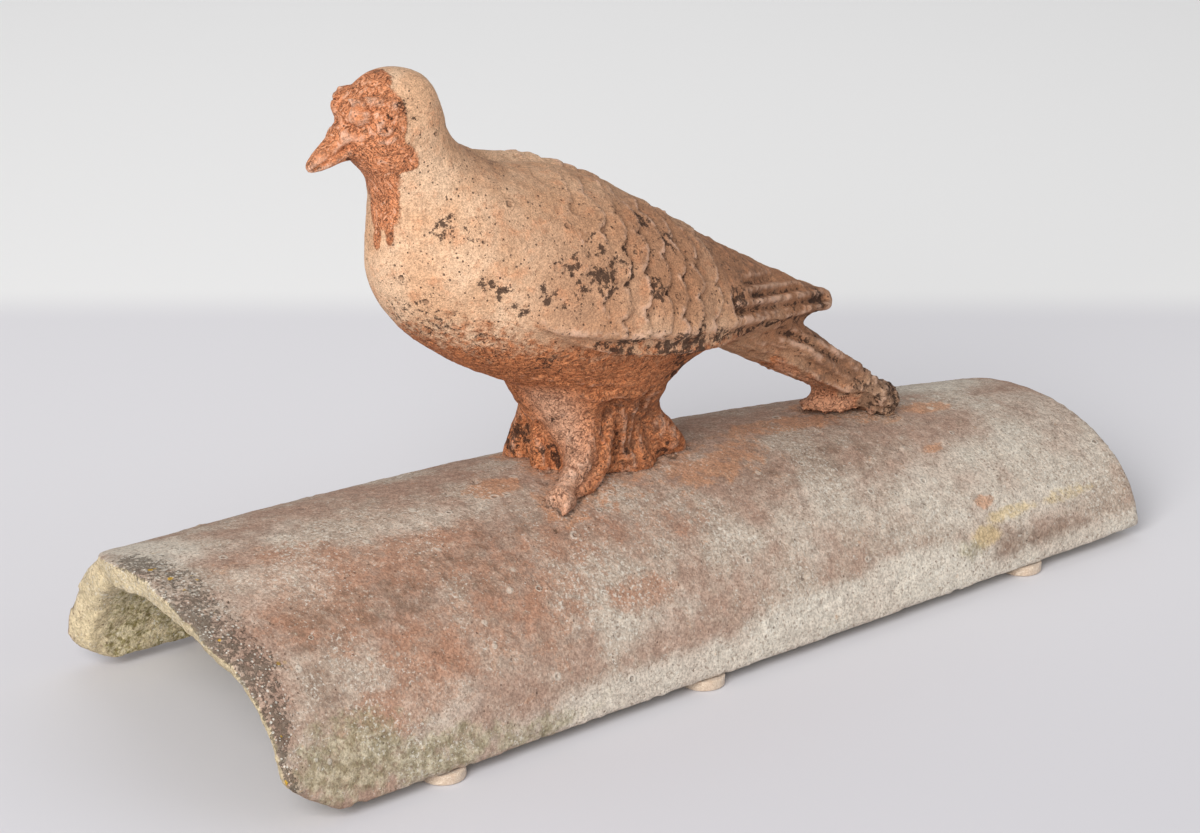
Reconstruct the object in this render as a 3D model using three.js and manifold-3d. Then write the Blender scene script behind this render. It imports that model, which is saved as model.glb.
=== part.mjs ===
// A hand-made half-round ridge tile that carries a modelled terracotta pigeon.
// Millimetres, +Z up, +X along the ridge towards the bird's tail. The origin is the middle
// of the part's footprint, on the surface that the felt pads stand on.
import * as THREE from "three";
import { mergeVertices } from "three/addons/utils/BufferGeometryUtils.js";
import Module from "manifold-3d";

const wasm = await Module();
wasm.setup();

// ---- driving dimensions -------------------------------------------------------------
const GAP = 0.3; // left between pieces that touch

const PAD = { diameter: 18, height: 4.2, inset: 8, stations: [-160, -28, 156], sides: 20 };

const TILE = {
  length: 450, // along the long bottom edges
  lip: 21, // how far the crest runs on past the wide end
  halfWidth: [91, 72.5], // wide end, narrow end
  rise: [73.5, 45.5], // height of the outside crest at each end, above the bottom edge
  hogBack: 11, // extra rise halfway along
  wall: 13.5,
  crestWall: 12,
  chip: 0.9, // unevenness of the cut wide end
  bevel: [8, 3], // how far the break slants back to the inside wall, near flank and far flank
  farSpread: 4, // extra half width on the far side at the wide end
  cornerWear: 13, // rounding of the wide end's two bottom corners
  cornerAngle: 10, // that much of the arch, in degrees, is worn
  steps: 18, // along the tile
  turns: 24, // around the arch
};
const BASE = PAD.height + GAP; // height of the tile's bottom edges
// the lip starts, is full, and ends at these angles round the arch, in degrees from the near edge
const LIP_ANGLES = { start: 3, step: 17, knee: 42, full: 58, hold: 100, end: 136 };

// ---- small helpers --------------------------------------------------------------------
const rad = THREE.MathUtils.degToRad;
const mix = THREE.MathUtils.lerp;
const smooth = (x, a, b) => THREE.MathUtils.smoothstep(x, a, b);

function superPower(value, squareness) {
  return Math.sign(value) * Math.abs(value) ** (2 / squareness);
}

// A closed surface through rings of equal length, with a fan at each end.
function skin(rings) {
  const count = rings[0].length;
  const points = rings.flat();
  const faces = [];
  for (let i = 0; i + 1 < rings.length; i++) {
    for (let j = 0; j < count; j++) {
      const k = (j + 1) % count;
      const [a, b] = [i * count + j, i * count + k];
      const [c, d] = [a + count, b + count];
      faces.push(a, b, d, a, d, c);
    }
  }
  for (const [ring, start, turned] of [
    [rings[0], 0, true],
    [rings.at(-1), (rings.length - 1) * count, false],
  ]) {
    const middle = ring.reduce((sum, p) => sum.add(p), new THREE.Vector3()).divideScalar(count);
    const hub = points.push(middle) - 1;
    for (let j = 0; j < count; j++) {
      const [a, b] = [start + j, start + ((j + 1) % count)];
      faces.push(...(turned ? [b, a, hub] : [a, b, hub]));
    }
  }
  const geometry = new THREE.BufferGeometry().setFromPoints(points);
  geometry.setIndex(faces);
  return geometry;
}

// The geometry as a manifold-3d solid, turned the right way out.
function solid(geometry) {
  const bare = new THREE.BufferGeometry();
  bare.setAttribute("position", geometry.getAttribute("position"));
  if (geometry.index) bare.setIndex(geometry.index);
  const merged = mergeVertices(bare, 1e-4);
  const triVerts = new Uint32Array(merged.index.array);
  const make = () =>
    new wasm.Manifold(
      new wasm.Mesh({
        numProp: 3,
        vertProperties: merged.attributes.position.array,
        triVerts,
      }),
    );
  const made = make();
  if (made.volume() >= 0) return made;
  for (let i = 0; i < triVerts.length; i += 3) {
    [triVerts[i + 1], triVerts[i + 2]] = [triVerts[i + 2], triVerts[i + 1]];
  }
  return make();
}

function geometryOf(body) {
  const mesh = body.getMesh();
  const geometry = new THREE.BufferGeometry();
  geometry.setAttribute("position", new THREE.BufferAttribute(mesh.vertProperties, 3));
  geometry.setIndex(new THREE.BufferAttribute(mesh.triVerts, 1));
  geometry.computeVertexNormals();
  return geometry;
}

// Reads every size of a list of stations at a place between 0 and 1, on a smooth curve.
function readStations(stations, place) {
  const last = stations.length - 1;
  const at = Math.min(place * last, last - 1e-9);
  const i = Math.floor(at);
  const t = at - i;
  const pick = (k) => stations[THREE.MathUtils.clamp(k, 0, last)];
  const result = {};
  for (const key of Object.keys(stations[0])) {
    const [a, b, c, d] = [pick(i - 1)[key], pick(i)[key], pick(i + 1)[key], pick(i + 2)[key]];
    const [m0, m1] = [(c - a) / 2, (d - b) / 2];
    const t2 = t * t;
    const t3 = t2 * t;
    result[key] =
      (2 * t3 - 3 * t2 + 1) * b + (t3 - 2 * t2 + t) * m0 + (3 * t2 - 2 * t3) * c + (t3 - t2) * m1;
  }
  return result;
}

// ---- the tile -------------------------------------------------------------------------
// Half width and rise of the outside at a place x along the ridge.
function tileSize(x) {
  const s = (x + TILE.length / 2) / TILE.length;
  const inside = THREE.MathUtils.clamp(s, 0, 1);
  const hump = TILE.hogBack * 4 * inside * (1 - inside);
  const halfWidth = mix(TILE.halfWidth[0], TILE.halfWidth[1], s);
  return {
    halfWidth,
    farHalfWidth: halfWidth + TILE.farSpread * (1 - inside),
    rise: mix(TILE.rise[0], TILE.rise[1], s) + hump,
  };
}

// How far the wide end runs past its square cut, at an angle round the arch.
function lipAt(angle) {
  const a = LIP_ANGLES;
  const rising = 0.6 * smooth(angle, a.start, a.step) + 0.4 * smooth(angle, a.knee, a.full);
  const falling = 1 - smooth(angle, a.hold, a.end);
  const wave = TILE.chip * Math.sin(rad(angle) * 11);
  const fromCorner = Math.min(angle, 180 - angle) / TILE.cornerAngle;
  const wear = TILE.cornerWear * Math.max(0, 1 - fromCorner) ** 2;
  return TILE.lip * rising * falling + wave - wear;
}

// How far the inside wall starts behind the outside one at the wide end.
function bevelAt(angle) {
  return mix(TILE.bevel[0], TILE.bevel[1], smooth(angle, 60, 100)) * smooth(angle, 0, 20);
}

// Angles round the arch, closer together near the bottom edges where the corners are worn.
function archAngle(j) {
  const place = (2 * j) / TILE.turns - 1;
  return 90 + 90 * Math.sign(place) * Math.abs(place) ** 0.85;
}

// A point of the arch, moved out by side at the flanks and by top at the crest.
function archPoint(angle, x, side, top) {
  const size = tileSize(x);
  const c = Math.cos(rad(angle));
  const s = Math.max(0, Math.sin(rad(angle)));
  const halfWidth = side + (c > 0 ? size.halfWidth : size.farHalfWidth);
  return new THREE.Vector3(x, -halfWidth * c, BASE + (size.rise + top) * s);
}

function tileSolid() {
  const rings = [];
  for (let i = 0; i <= TILE.steps; i++) {
    const outside = [];
    const inside = [];
    for (let j = 0; j <= TILE.turns; j++) {
      const angle = archAngle(j);
      const start = -TILE.length / 2 - lipAt(angle);
      const outX = mix(start, TILE.length / 2, i / TILE.steps);
      const inX = mix(start + bevelAt(angle), TILE.length / 2, i / TILE.steps);
      outside.push(archPoint(angle, outX, 0, 0));
      inside.push(archPoint(angle, inX, -TILE.wall, -TILE.crestWall));
    }
    rings.push([...outside, ...inside.reverse()]);
  }
  return solid(openSkin(rings));
}

// The tile's rings are C-shaped, so the ends are strips between the two walls, not fans.
function openSkin(rings) {
  const count = rings[0].length;
  const half = count / 2;
  const faces = [];
  for (let i = 0; i + 1 < rings.length; i++) {
    for (let j = 0; j < count; j++) {
      const [a, b] = [i * count + j, i * count + ((j + 1) % count)];
      const [c, d] = [a + count, b + count];
      faces.push(a, b, d, a, d, c);
    }
  }
  for (const [start, turned] of [
    [0, true],
    [(rings.length - 1) * count, false],
  ]) {
    for (let j = 0; j + 1 < half; j++) {
      const [a, b] = [start + j, start + j + 1];
      const [c, d] = [start + count - 1 - j, start + count - 2 - j];
      faces.push(...(turned ? [b, a, c, b, c, d] : [a, b, c, c, b, d]));
    }
  }
  const geometry = new THREE.BufferGeometry().setFromPoints(rings.flat());
  geometry.setIndex(faces);
  return geometry;
}

// The arch filled in and grown a little, to cut the bird's feet to the tile's surface.
function footCutter() {
  const rings = [];
  const [from, to] = [-TILE.length / 2, TILE.length / 2];
  for (let i = 0; i <= TILE.steps; i++) {
    const x = mix(from, to, i / TILE.steps);
    const ring = [];
    for (let j = 0; j <= TILE.turns; j++) {
      ring.push(archPoint(archAngle(j), x, GAP, GAP));
    }
    rings.push(ring);
  }
  return solid(skin(rings));
}

// ---- the bird ---------------------------------------------------------------------------
// Heights in this section are above the tile's bottom edge. Stations run from the crown down
// the neck and back to the rump: middle of the section, half depth towards the back and
// towards the breast, and half width.
const BODY = [
  { x: -122.8, z: 250.6, back: 3, front: 3, wide: 2.5, square: 2.2 },
  { x: -122.8, z: 248, back: 9.5, front: 13, wide: 10, square: 2.3 },
  { x: -122, z: 241.5, back: 15, front: 22.5, wide: 15, square: 2.4 },
  { x: -121, z: 232.5, back: 17.5, front: 25, wide: 17.5, square: 2.4 },
  { x: -119, z: 223, back: 17.5, front: 22.5, wide: 17.8, square: 2.3 },
  { x: -115, z: 212, back: 19.5, front: 18, wide: 18.5, square: 2.1 },
  { x: -108.5, z: 201, back: 23, front: 29, wide: 22.5, square: 2 },
  { x: -100, z: 189, back: 29, front: 40.5, wide: 30, square: 2 },
  { x: -89, z: 176, back: 38, front: 44, wide: 37.5, square: 2 },
  { x: -73, z: 163, back: 44.5, front: 43.5, wide: 43, square: 2 },
  { x: -52, z: 152, back: 46, front: 43.5, wide: 45, square: 2 },
  { x: -28, z: 143, back: 43.5, front: 43, wide: 43.5, square: 2 },
  { x: -4, z: 135, back: 37, front: 33, wide: 39, square: 2 },
  { x: 20, z: 127, back: 29, front: 18, wide: 32, square: 2 },
  { x: 43, z: 119, back: 19, front: 12, wide: 23, square: 2 },
  { x: 60, z: 113, back: 11, front: 8, wide: 14, square: 2 },
];
const BODY_MESH = { rings: 36, sides: 26 };

// The folded wing, as a plate that leans in over the back: middle of each section, half
// height along the plate, half thickness, and lean from upright in degrees.
const WING = [
  { x: -99, y: 27, z: 174, tall: 5, thick: 1, lean: 16 },
  { x: -94, y: 29.5, z: 172, tall: 14, thick: 4, lean: 17 },
  { x: -82, y: 33, z: 168.5, tall: 24, thick: 8, lean: 20 },
  { x: -60, y: 35, z: 163, tall: 30.5, thick: 12, lean: 25 },
  { x: -30, y: 34, z: 155.5, tall: 31.5, thick: 14, lean: 31 },
  { x: 0, y: 29, z: 147, tall: 28.5, thick: 12.5, lean: 37 },
  { x: 30, y: 21, z: 137, tall: 21.5, thick: 11, lean: 42 },
  { x: 58, y: 13, z: 126.5, tall: 15, thick: 9, lean: 46 },
  { x: 80, y: 7, z: 118.5, tall: 9.5, thick: 7.5, lean: 44 },
  { x: 93, y: 4, z: 115, tall: 5.5, thick: 5.5, lean: 40 },
  { x: 98, y: 3, z: 114, tall: 2, thick: 2.5, lean: 40 },
];
const WING_MESH = { rings: 38, outside: 12, inside: 4, squareness: 2.3 };
const FEATHER = {
  row: 12.5, // spacing of the rows of covert feathers along the wing
  width: 12, // of one covert feather
  bow: 0.55, // how far a feather's edge bows towards the tail, as a share of a row
  height: 1.3, // step at a feather's edge
  from: -45, // the rows start and end here along the ridge
  to: 42,
  quill: 5.2, // spacing of the long flight feathers
  quillHeight: 1.5,
};
const WING_SLOPE = rad(-18.6); // the wing's length runs down towards the tail at this slope

// The tail: middle of each section, half thickness square to its length, half width.
const TAIL = [
  { x: 22, z: 125.5, back: 12, front: 10, wide: 20 },
  { x: 45, z: 114.5, back: 13, front: 12, wide: 18.5 },
  { x: 66, z: 103.5, back: 12.5, front: 13, wide: 17 },
  { x: 87, z: 90, back: 10.5, front: 11.5, wide: 16 },
  { x: 107, z: 77, back: 8, front: 8.5, wide: 15.5 },
  { x: 121.5, z: 66.5, back: 7.5, front: 8, wide: 16 },
  { x: 130.5, z: 60.5, back: 7, front: 7.5, wide: 15 },
];
const TAIL_MESH = { rings: 12, sides: 16, squareness: 2.8 };

// The pedestal of clay between belly and tile: centre, half length, half width at each height.
const STUMP = [
  { x: -22, z: 56, long: 38, wide: 25 },
  { x: -23.5, z: 68, long: 34.5, wide: 22.5 },
  { x: -27, z: 78, long: 30.5, wide: 19.5 },
  { x: -28.5, z: 88, long: 29.5, wide: 19 },
  { x: -28, z: 98, long: 32, wide: 23 },
  { x: -26.5, z: 108, long: 39, wide: 30 },
  { x: -22, z: 120, long: 48, wide: 34 },
];
const STUMP_MESH = { rings: 10, sides: 24, folds: 7, foldDepth: 1.6 };

// The eyes are bosses, set unevenly as a hand-made bird's are.
const EYE_HEIGHT = 236;
const EYES = [
  { x: -142.6, y: -7.2, size: 4.2 },
  { x: -139.2, y: 10, size: 3.6 },
];

// Sections square to a spine that lies in the plane y = 0.
function spineLoft(stations, { rings, sides, squareness = 2 }, relief = () => 0) {
  const made = [];
  const step = 1e-3;
  for (let i = 0; i <= rings; i++) {
    const place = i / rings;
    const here = readStations(stations, place);
    const before = readStations(stations, Math.max(0, place - step));
    const after = readStations(stations, Math.min(1, place + step));
    const along = new THREE.Vector3(after.x - before.x, 0, after.z - before.z).normalize();
    const dorsal = new THREE.Vector3(-along.z, 0, along.x);
    const ring = [];
    for (let j = 0; j < sides; j++) {
      const angle = (2 * Math.PI * j) / sides;
      const square = here.square ?? squareness;
      const [c, s] = [superPower(Math.cos(angle), square), superPower(Math.sin(angle), square)];
      const depth = s > 0 ? here.back : here.front;
      const point = new THREE.Vector3(here.x, 0, here.z);
      point.addScaledVector(dorsal, depth * s);
      point.y = here.wide * c;
      const out = new THREE.Vector3(0, c, 0).addScaledVector(dorsal, s).normalize();
      ring.push(point.addScaledVector(out, relief(point, c, s, place)));
    }
    made.push(ring);
  }
  return solid(skin(made));
}

// Height of the feather relief at a place on the wing: coverts in front, flight feathers behind.
function featherRelief(x, z) {
  const along = x * Math.cos(WING_SLOPE) + z * Math.sin(WING_SLOPE);
  const across = z * Math.cos(WING_SLOPE) - x * Math.sin(WING_SLOPE);
  const row = along / FEATHER.row;
  const shift = Math.floor(row) % 2 === 0 ? 0 : 0.5;
  const place = across / FEATHER.width + shift;
  const offCentre = 2 * (place - Math.floor(place)) - 1;
  const edge = row + FEATHER.bow * offCentre * offCentre;
  const rise = edge - Math.floor(edge);
  const covert = smooth(x, FEATHER.from, FEATHER.from + 12) * (1 - smooth(x, FEATHER.to, FEATHER.to + 8));
  const flight = smooth(x, FEATHER.to - 4, FEATHER.to + 12);
  const ridge = Math.abs(Math.sin((Math.PI * across) / FEATHER.quill));
  return covert * FEATHER.height * rise + flight * FEATHER.quillHeight * (ridge - 0.5);
}

// Angles round a wing's section, most of them on the outside, which shows.
function wingAngles() {
  const angles = [];
  for (let j = 0; j < WING_MESH.outside; j++) {
    angles.push(-Math.PI / 2 + (Math.PI * j) / WING_MESH.outside);
  }
  for (let j = 0; j < WING_MESH.inside; j++) {
    angles.push(Math.PI / 2 + (Math.PI * j) / WING_MESH.inside);
  }
  return angles;
}

// side is -1 for the left wing and 1 for the right one.
function wingSolid(side) {
  const made = [];
  for (let i = 0; i <= WING_MESH.rings; i++) {
    const here = readStations(WING, i / WING_MESH.rings);
    const lean = rad(here.lean);
    const up = new THREE.Vector3(0, -side * Math.sin(lean), Math.cos(lean));
    const out = new THREE.Vector3(0, side * Math.cos(lean), Math.sin(lean));
    const ring = [];
    for (const angle of wingAngles()) {
      const c = superPower(Math.cos(angle), WING_MESH.squareness);
      const s = superPower(Math.sin(angle), WING_MESH.squareness);
      const point = new THREE.Vector3(here.x, side * here.y, here.z);
      point.addScaledVector(up, here.tall * s).addScaledVector(out, here.thick * c);
      const relief = c > 0 ? featherRelief(point.x, point.z) * c : 0;
      ring.push(point.addScaledVector(out, relief));
    }
    made.push(ring);
  }
  return solid(skin(made));
}

function stumpSolid() {
  const made = [];
  for (let i = 0; i <= STUMP_MESH.rings; i++) {
    const here = readStations(STUMP, i / STUMP_MESH.rings);
    const ring = [];
    for (let j = 0; j < STUMP_MESH.sides; j++) {
      const angle = (2 * Math.PI * j) / STUMP_MESH.sides;
      const fold = STUMP_MESH.foldDepth * Math.sin(STUMP_MESH.folds * angle + here.z * 0.06);
      ring.push(
        new THREE.Vector3(
          here.x + (here.long + fold) * Math.cos(angle),
          (here.wide + fold) * Math.sin(angle),
          here.z,
        ),
      );
    }
    made.push(ring);
  }
  return solid(skin(made));
}

// A tapered round limb through points with a radius each.
function limb(points, sides = 10, rings = 8) {
  const made = [];
  const step = 1e-3;
  for (let i = 0; i <= rings; i++) {
    const place = i / rings;
    const here = readStations(points, place);
    const before = readStations(points, Math.max(0, place - step));
    const after = readStations(points, Math.min(1, place + step));
    const along = new THREE.Vector3(after.x - before.x, after.y - before.y, after.z - before.z);
    along.normalize();
    const across = new THREE.Vector3(0, 0, 1).cross(along);
    if (across.lengthSq() < 0.01) across.set(0, 1, 0);
    across.normalize();
    const up = new THREE.Vector3().crossVectors(along, across);
    const ring = [];
    for (let j = 0; j < sides; j++) {
      const angle = (2 * Math.PI * j) / sides;
      ring.push(
        new THREE.Vector3(here.x, here.y, here.z)
          .addScaledVector(across, here.r * Math.cos(angle))
          .addScaledVector(up, here.r * Math.sin(angle)),
      );
    }
    made.push(ring);
  }
  return solid(skin(made));
}

function ball(x, y, z, rx, ry, rz, sides = 14) {
  const geometry = new THREE.SphereGeometry(1, sides, Math.round(sides * 0.7));
  geometry.scale(rx, ry, rz);
  geometry.translate(x, y, z);
  return solid(geometry);
}

function beakSolid() {
  return limb([
    { x: -130, y: 0, z: 231, r: 13 },
    { x: -141, y: 0, z: 226.5, r: 9.5 },
    { x: -149, y: 0, z: 223.2, r: 6 },
    { x: -157, y: 0, z: 219.5, r: 4.2 },
    { x: -162, y: 0, z: 217, r: 2 },
  ]);
}

function eyeSolid({ x, y, size }) {
  return ball(x, y, EYE_HEIGHT, size, size * 0.95, size, 10);
}

function browSolid(side) {
  return limb([
    { x: -146, y: side * 5, z: 242.6, r: 0.9 },
    { x: -142.8, y: side * 7.3, z: 241.2, r: 2 },
    { x: -138, y: side * 10.6, z: 240.6, r: 2.4 },
    { x: -131, y: side * 13.8, z: 239.5, r: 1.3 },
  ], 8, 6);
}

function legSolids() {
  const nearLeg = [
    { x: -36, y: -12, z: 100, r: 11 },
    { x: -40, y: -16, z: 88, r: 10 },
    { x: -45, y: -20, z: 79, r: 10 },
    { x: -55, y: -26, z: 73, r: 7.5 },
    { x: -64, y: -30, z: 69, r: 4.5 },
  ];
  const claw = (dx, dy) => [
    { x: -61, y: -29, z: 71, r: 4.5 },
    { x: -61 + dx * 0.6, y: -29 + dy * 0.6, z: 70.5, r: 3.4 },
    { x: -61 + dx, y: -29 + dy, z: 67.5, r: 1 },
  ];
  const farLeg = [
    { x: -42, y: 13, z: 104, r: 10 },
    { x: -44, y: 17, z: 88, r: 8.5 },
    { x: -47, y: 19, z: 76, r: 8.5 },
    { x: -49, y: 21, z: 66, r: 8.5 },
  ];
  const rearToe = (side) => [
    { x: -8, y: side * 8, z: 84, r: 9 },
    { x: 2, y: side * 10, z: 76, r: 7.5 },
    { x: 9, y: side * 10.5, z: 71, r: 4.5 },
    { x: 14, y: side * 11, z: 68, r: 1.5 },
  ];
  return [
    limb(nearLeg),
    limb(claw(-12, 0), 8, 5),
    limb(claw(-9, -9), 8, 5),
    limb(farLeg),
    limb(rearToe(-1)),
    limb(rearToe(1)),
  ];
}

// The smooth clay that the tail is bedded in.
function beddingSolid() {
  return ball(106, 3, 62, 19, 13, 12, 14);
}

function pigeonSolid() {
  const tailRelief = (point, c, s) => (s > -0.2 ? 0.9 * Math.cos(point.y * 1.1) : 0.6 * c);
  const parts = [
    spineLoft(BODY, BODY_MESH),
    spineLoft(TAIL, TAIL_MESH, tailRelief),
    wingSolid(-1),
    wingSolid(1),
    stumpSolid(),
    beakSolid(),
    ...EYES.map(eyeSolid),
    browSolid(-1),
    browSolid(1),
    ...legSolids(),
    beddingSolid(),
  ];
  const joined = parts.reduce((whole, part) => whole.add(part));
  return joined.translate([0, 0, BASE]).subtract(footCutter());
}

// ---- the felt pads ------------------------------------------------------------------------
function padMesh(name, x, side) {
  const size = tileSize(x);
  const geometry = new THREE.CylinderGeometry(
    PAD.diameter / 2,
    PAD.diameter / 2,
    PAD.height,
    PAD.sides,
  );
  geometry.rotateX(Math.PI / 2);
  const pad = new THREE.Mesh(geometry, felt);
  pad.name = name;
  const edge = side < 0 ? size.halfWidth : size.farHalfWidth;
  pad.position.set(x, side * (edge - PAD.inset), PAD.height / 2);
  return pad;
}

// ---- materials and assembly -----------------------------------------------------------------
const agedTerracotta = new THREE.MeshStandardMaterial({ color: 0xb08c74, roughness: 0.9, metalness: 0 });
const paleTerracotta = new THREE.MeshStandardMaterial({ color: 0xc98f68, roughness: 0.88, metalness: 0 });
const felt = new THREE.MeshStandardMaterial({ color: 0xe3c3b0, roughness: 0.95, metalness: 0 });

const group = new THREE.Group();
group.name = "decorative_ridge_tile";

const tile = new THREE.Mesh(geometryOf(tileSolid()), agedTerracotta);
tile.name = "ridge_tile";
group.add(tile);

const pigeon = new THREE.Mesh(geometryOf(pigeonSolid()), paleTerracotta);
pigeon.name = "pigeon";
group.add(pigeon);

PAD.stations.forEach((x, i) => {
  group.add(padMesh("felt_pad_left_" + (i + 1), x, -1));
  group.add(padMesh("felt_pad_right_" + (i + 1), x, 1));
});

// The origin goes to the middle of the footprint.
const middle = new THREE.Box3().setFromObject(group).getCenter(new THREE.Vector3());
group.position.set(-middle.x, -middle.y, 0);

export default group;
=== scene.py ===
"""Weathered looks of a ridge tile that carries a clay pigeon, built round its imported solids."""

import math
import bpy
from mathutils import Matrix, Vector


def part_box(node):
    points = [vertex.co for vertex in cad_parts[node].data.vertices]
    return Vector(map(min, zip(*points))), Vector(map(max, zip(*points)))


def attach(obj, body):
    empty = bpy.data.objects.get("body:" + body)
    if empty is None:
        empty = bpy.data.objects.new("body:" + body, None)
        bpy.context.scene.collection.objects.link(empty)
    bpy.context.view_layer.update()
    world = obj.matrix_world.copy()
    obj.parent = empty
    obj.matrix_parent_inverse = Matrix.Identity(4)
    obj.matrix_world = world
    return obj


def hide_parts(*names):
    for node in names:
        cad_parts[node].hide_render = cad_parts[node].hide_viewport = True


bl_info = {
    "name": "Ridge tile with a pigeon",
    "version": (1, 0, 0),
    "blender": (4, 5, 0),
    "location": "3D View > Sidebar > Ridge tile",
    "description": "Models a weathered ridge tile, the pigeon on it and the felt pads under it",
    "category": "Object",
}

import bpy
import numpy as np
from mathutils import Matrix, Vector, noise
from mathutils.bvhtree import BVHTree
from mathutils.kdtree import KDTree

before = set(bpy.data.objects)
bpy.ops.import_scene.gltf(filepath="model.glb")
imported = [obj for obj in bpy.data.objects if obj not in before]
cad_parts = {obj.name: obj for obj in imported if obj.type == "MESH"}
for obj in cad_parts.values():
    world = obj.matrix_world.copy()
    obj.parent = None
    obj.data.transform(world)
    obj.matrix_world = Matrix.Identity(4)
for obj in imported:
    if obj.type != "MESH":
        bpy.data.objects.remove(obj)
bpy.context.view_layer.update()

MM = 0.001
FAR_OFF = 50.0  # the gap, in millimetres, that stands for any wide one
PADS = sorted(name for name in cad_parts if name.startswith("felt_pad"))
TILE_LOW, TILE_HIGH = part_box("ridge_tile")
HALF_LENGTH = 225 * MM  # half the tile's long edges
FAR_SPREAD = 4 * MM  # how much further the far long edge stands out than the near one

# Places are in millimetres from the point under the middle of the long edges: x towards the
# bird's tail, y away from its left side, z up from the tile's bottom edge.
MIDDLE = Vector(
    (
        TILE_HIGH.x - HALF_LENGTH,
        (TILE_LOW.y + TILE_HIGH.y - FAR_SPREAD) / 2,
        TILE_LOW.z,
    )
)


def tone(red, green, blue):
    """A colour given as a screen shows it, from 0 to 255, as the linear one that Blender holds."""
    shares = [channel / 255 for channel in (red, green, blue)]
    return tuple(s / 12.92 if s <= 0.04045 else ((s + 0.055) / 1.055) ** 2.4 for s in shares)


def colour(name, description, shown):
    """A colour property with the given default."""
    return bpy.props.FloatVectorProperty(
        name=name, description=description, subtype="COLOR", min=0, max=1, default=tone(*shown)
    )


def length(name, description, millimetres):
    """A length property with the given default."""
    return bpy.props.FloatProperty(
        name=name, description=description, unit="LENGTH", default=millimetres * MM
    )


def power(name, description, watts):
    """A light's power property with the given default."""
    return bpy.props.FloatProperty(name=name, description=description, unit="POWER", default=watts)


# Surfaces as arrays


def only(piece):
    """Makes the piece the one selected and active object."""
    bpy.ops.object.select_all(action="DESELECT")
    piece.select_set(True)
    bpy.context.view_layer.objects.active = piece


def merged_copy(node, name):
    """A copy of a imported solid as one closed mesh."""
    piece = bpy.data.objects.new(name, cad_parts[node].data.copy())
    bpy.context.scene.collection.objects.link(piece)
    piece.data.materials.clear()
    only(piece)
    bpy.ops.object.mode_set(mode="EDIT")
    bpy.ops.mesh.select_all(action="SELECT")
    bpy.ops.mesh.remove_doubles(threshold=1e-6)
    bpy.ops.object.mode_set(mode="OBJECT")
    return piece


def apply_modifier(piece, kind, **settings):
    """Adds one modifier and applies it."""
    only(piece)
    modifier = piece.modifiers.new(kind.title(), kind)
    for name, value in settings.items():
        setattr(modifier, name, value)
    bpy.ops.object.modifier_apply(modifier=modifier.name)


def places_of(piece):
    """The vertices' places, in millimetres from the middle."""
    flat = np.zeros(len(piece.data.vertices) * 3)
    piece.data.vertices.foreach_get("co", flat)
    return (flat.reshape(-1, 3) - np.array(MIDDLE)) / MM


def put_places(piece, places):
    """Moves the vertices to these places."""
    flat = (places * MM + np.array(MIDDLE)).ravel()
    piece.data.vertices.foreach_set("co", flat)
    piece.data.update()


def normals_of(piece):
    """The vertices' unit normals."""
    flat = np.zeros(len(piece.data.vertices) * 3, np.float32)
    piece.data.vertex_normals.foreach_get("vector", flat)
    return flat.reshape(-1, 3).astype(float)


def push_out(piece, amounts):
    """Moves each vertex along its normal by so many millimetres."""
    put_places(piece, places_of(piece) + normals_of(piece) * amounts[:, None])


class Net:
    """Which vertices of a mesh are joined, for spreading values over it."""

    def __init__(self, piece):
        ends = np.zeros(len(piece.data.edges) * 2, int)
        piece.data.edges.foreach_get("vertices", ends)
        first, second = ends.reshape(-1, 2).T
        self.here = np.concatenate([first, second])
        self.there = np.concatenate([second, first])
        self.size = len(piece.data.vertices)
        self.links = np.maximum(np.bincount(self.here, minlength=self.size), 1)

    def mean(self, values):
        """The mean of each vertex's neighbours."""
        columns = values.reshape(self.size, -1).T
        sums = [np.bincount(self.here, column[self.there], self.size) for column in columns]
        return (np.array(sums) / self.links).T.reshape(values.shape)

    def relax(self, values, rounds, strength=0.5):
        """Values, or places, drawn towards their neighbours' mean over and over."""
        strength = np.asarray(strength)
        if values.ndim == 2 and strength.ndim == 1:
            strength = strength[:, None]
        for _ in range(rounds):
            values = values + strength * (self.mean(values) - values)
        return values


def ease(low, high, values):
    """0 below low and 1 above high, with a smooth rise between them."""
    share = np.clip((values - low) / (high - low), 0, 1)
    return share * share * (3 - 2 * share)


def clouds(places, size, octaves=2, seed=0):
    """Cloud noise of about -1 to 1, with lumps of that size. A size of three numbers stretches it."""
    scaled = places / np.asarray(size, float) + np.array([17.3, 9.1, 5.7]) * (seed + 1)
    return np.array([noise.fractal(point, 1.0, 2.0, octaves) for point in scaled])


def dabs(places, spots):
    """How far each place lies inside soft round spots of (x, y, z, radius, strength)."""
    most = np.zeros(len(places))
    for x, y, z, radius, strength in spots:
        gap = np.linalg.norm(places - (x, y, z), axis=1) / radius
        most = np.maximum(most, strength * (1 - ease(0.4, 1.3, gap)))
    return most


def gap_to_line(places, line):
    """Distance from each place to a line through these points."""
    nearest = np.full(len(places), np.inf)
    for start, end in zip(np.array(line[:-1], float), np.array(line[1:], float)):
        way = end - start
        share = np.clip((places - start) @ way / (way @ way), 0, 1)
        nearest = np.minimum(nearest, np.linalg.norm(places - start - share[:, None] * way, axis=1))
    return nearest


def stroke(places, line, width):
    """1 on a line and 0 beyond its width, as a round tool marks clay."""
    return 1 - ease(0.15 * width, width, gap_to_line(places, line))


def tool_marks(places, marks):
    """Heights that raise or cut the clay along lines, each given with its width and height."""
    return sum(height * stroke(places, line, width) for line, width, height in marks)


def on_left(places):
    """The places, with those on the bird's right side mirrored to its left."""
    return np.stack([places[:, 0], -np.abs(places[:, 1]), places[:, 2]], 1)


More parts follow.
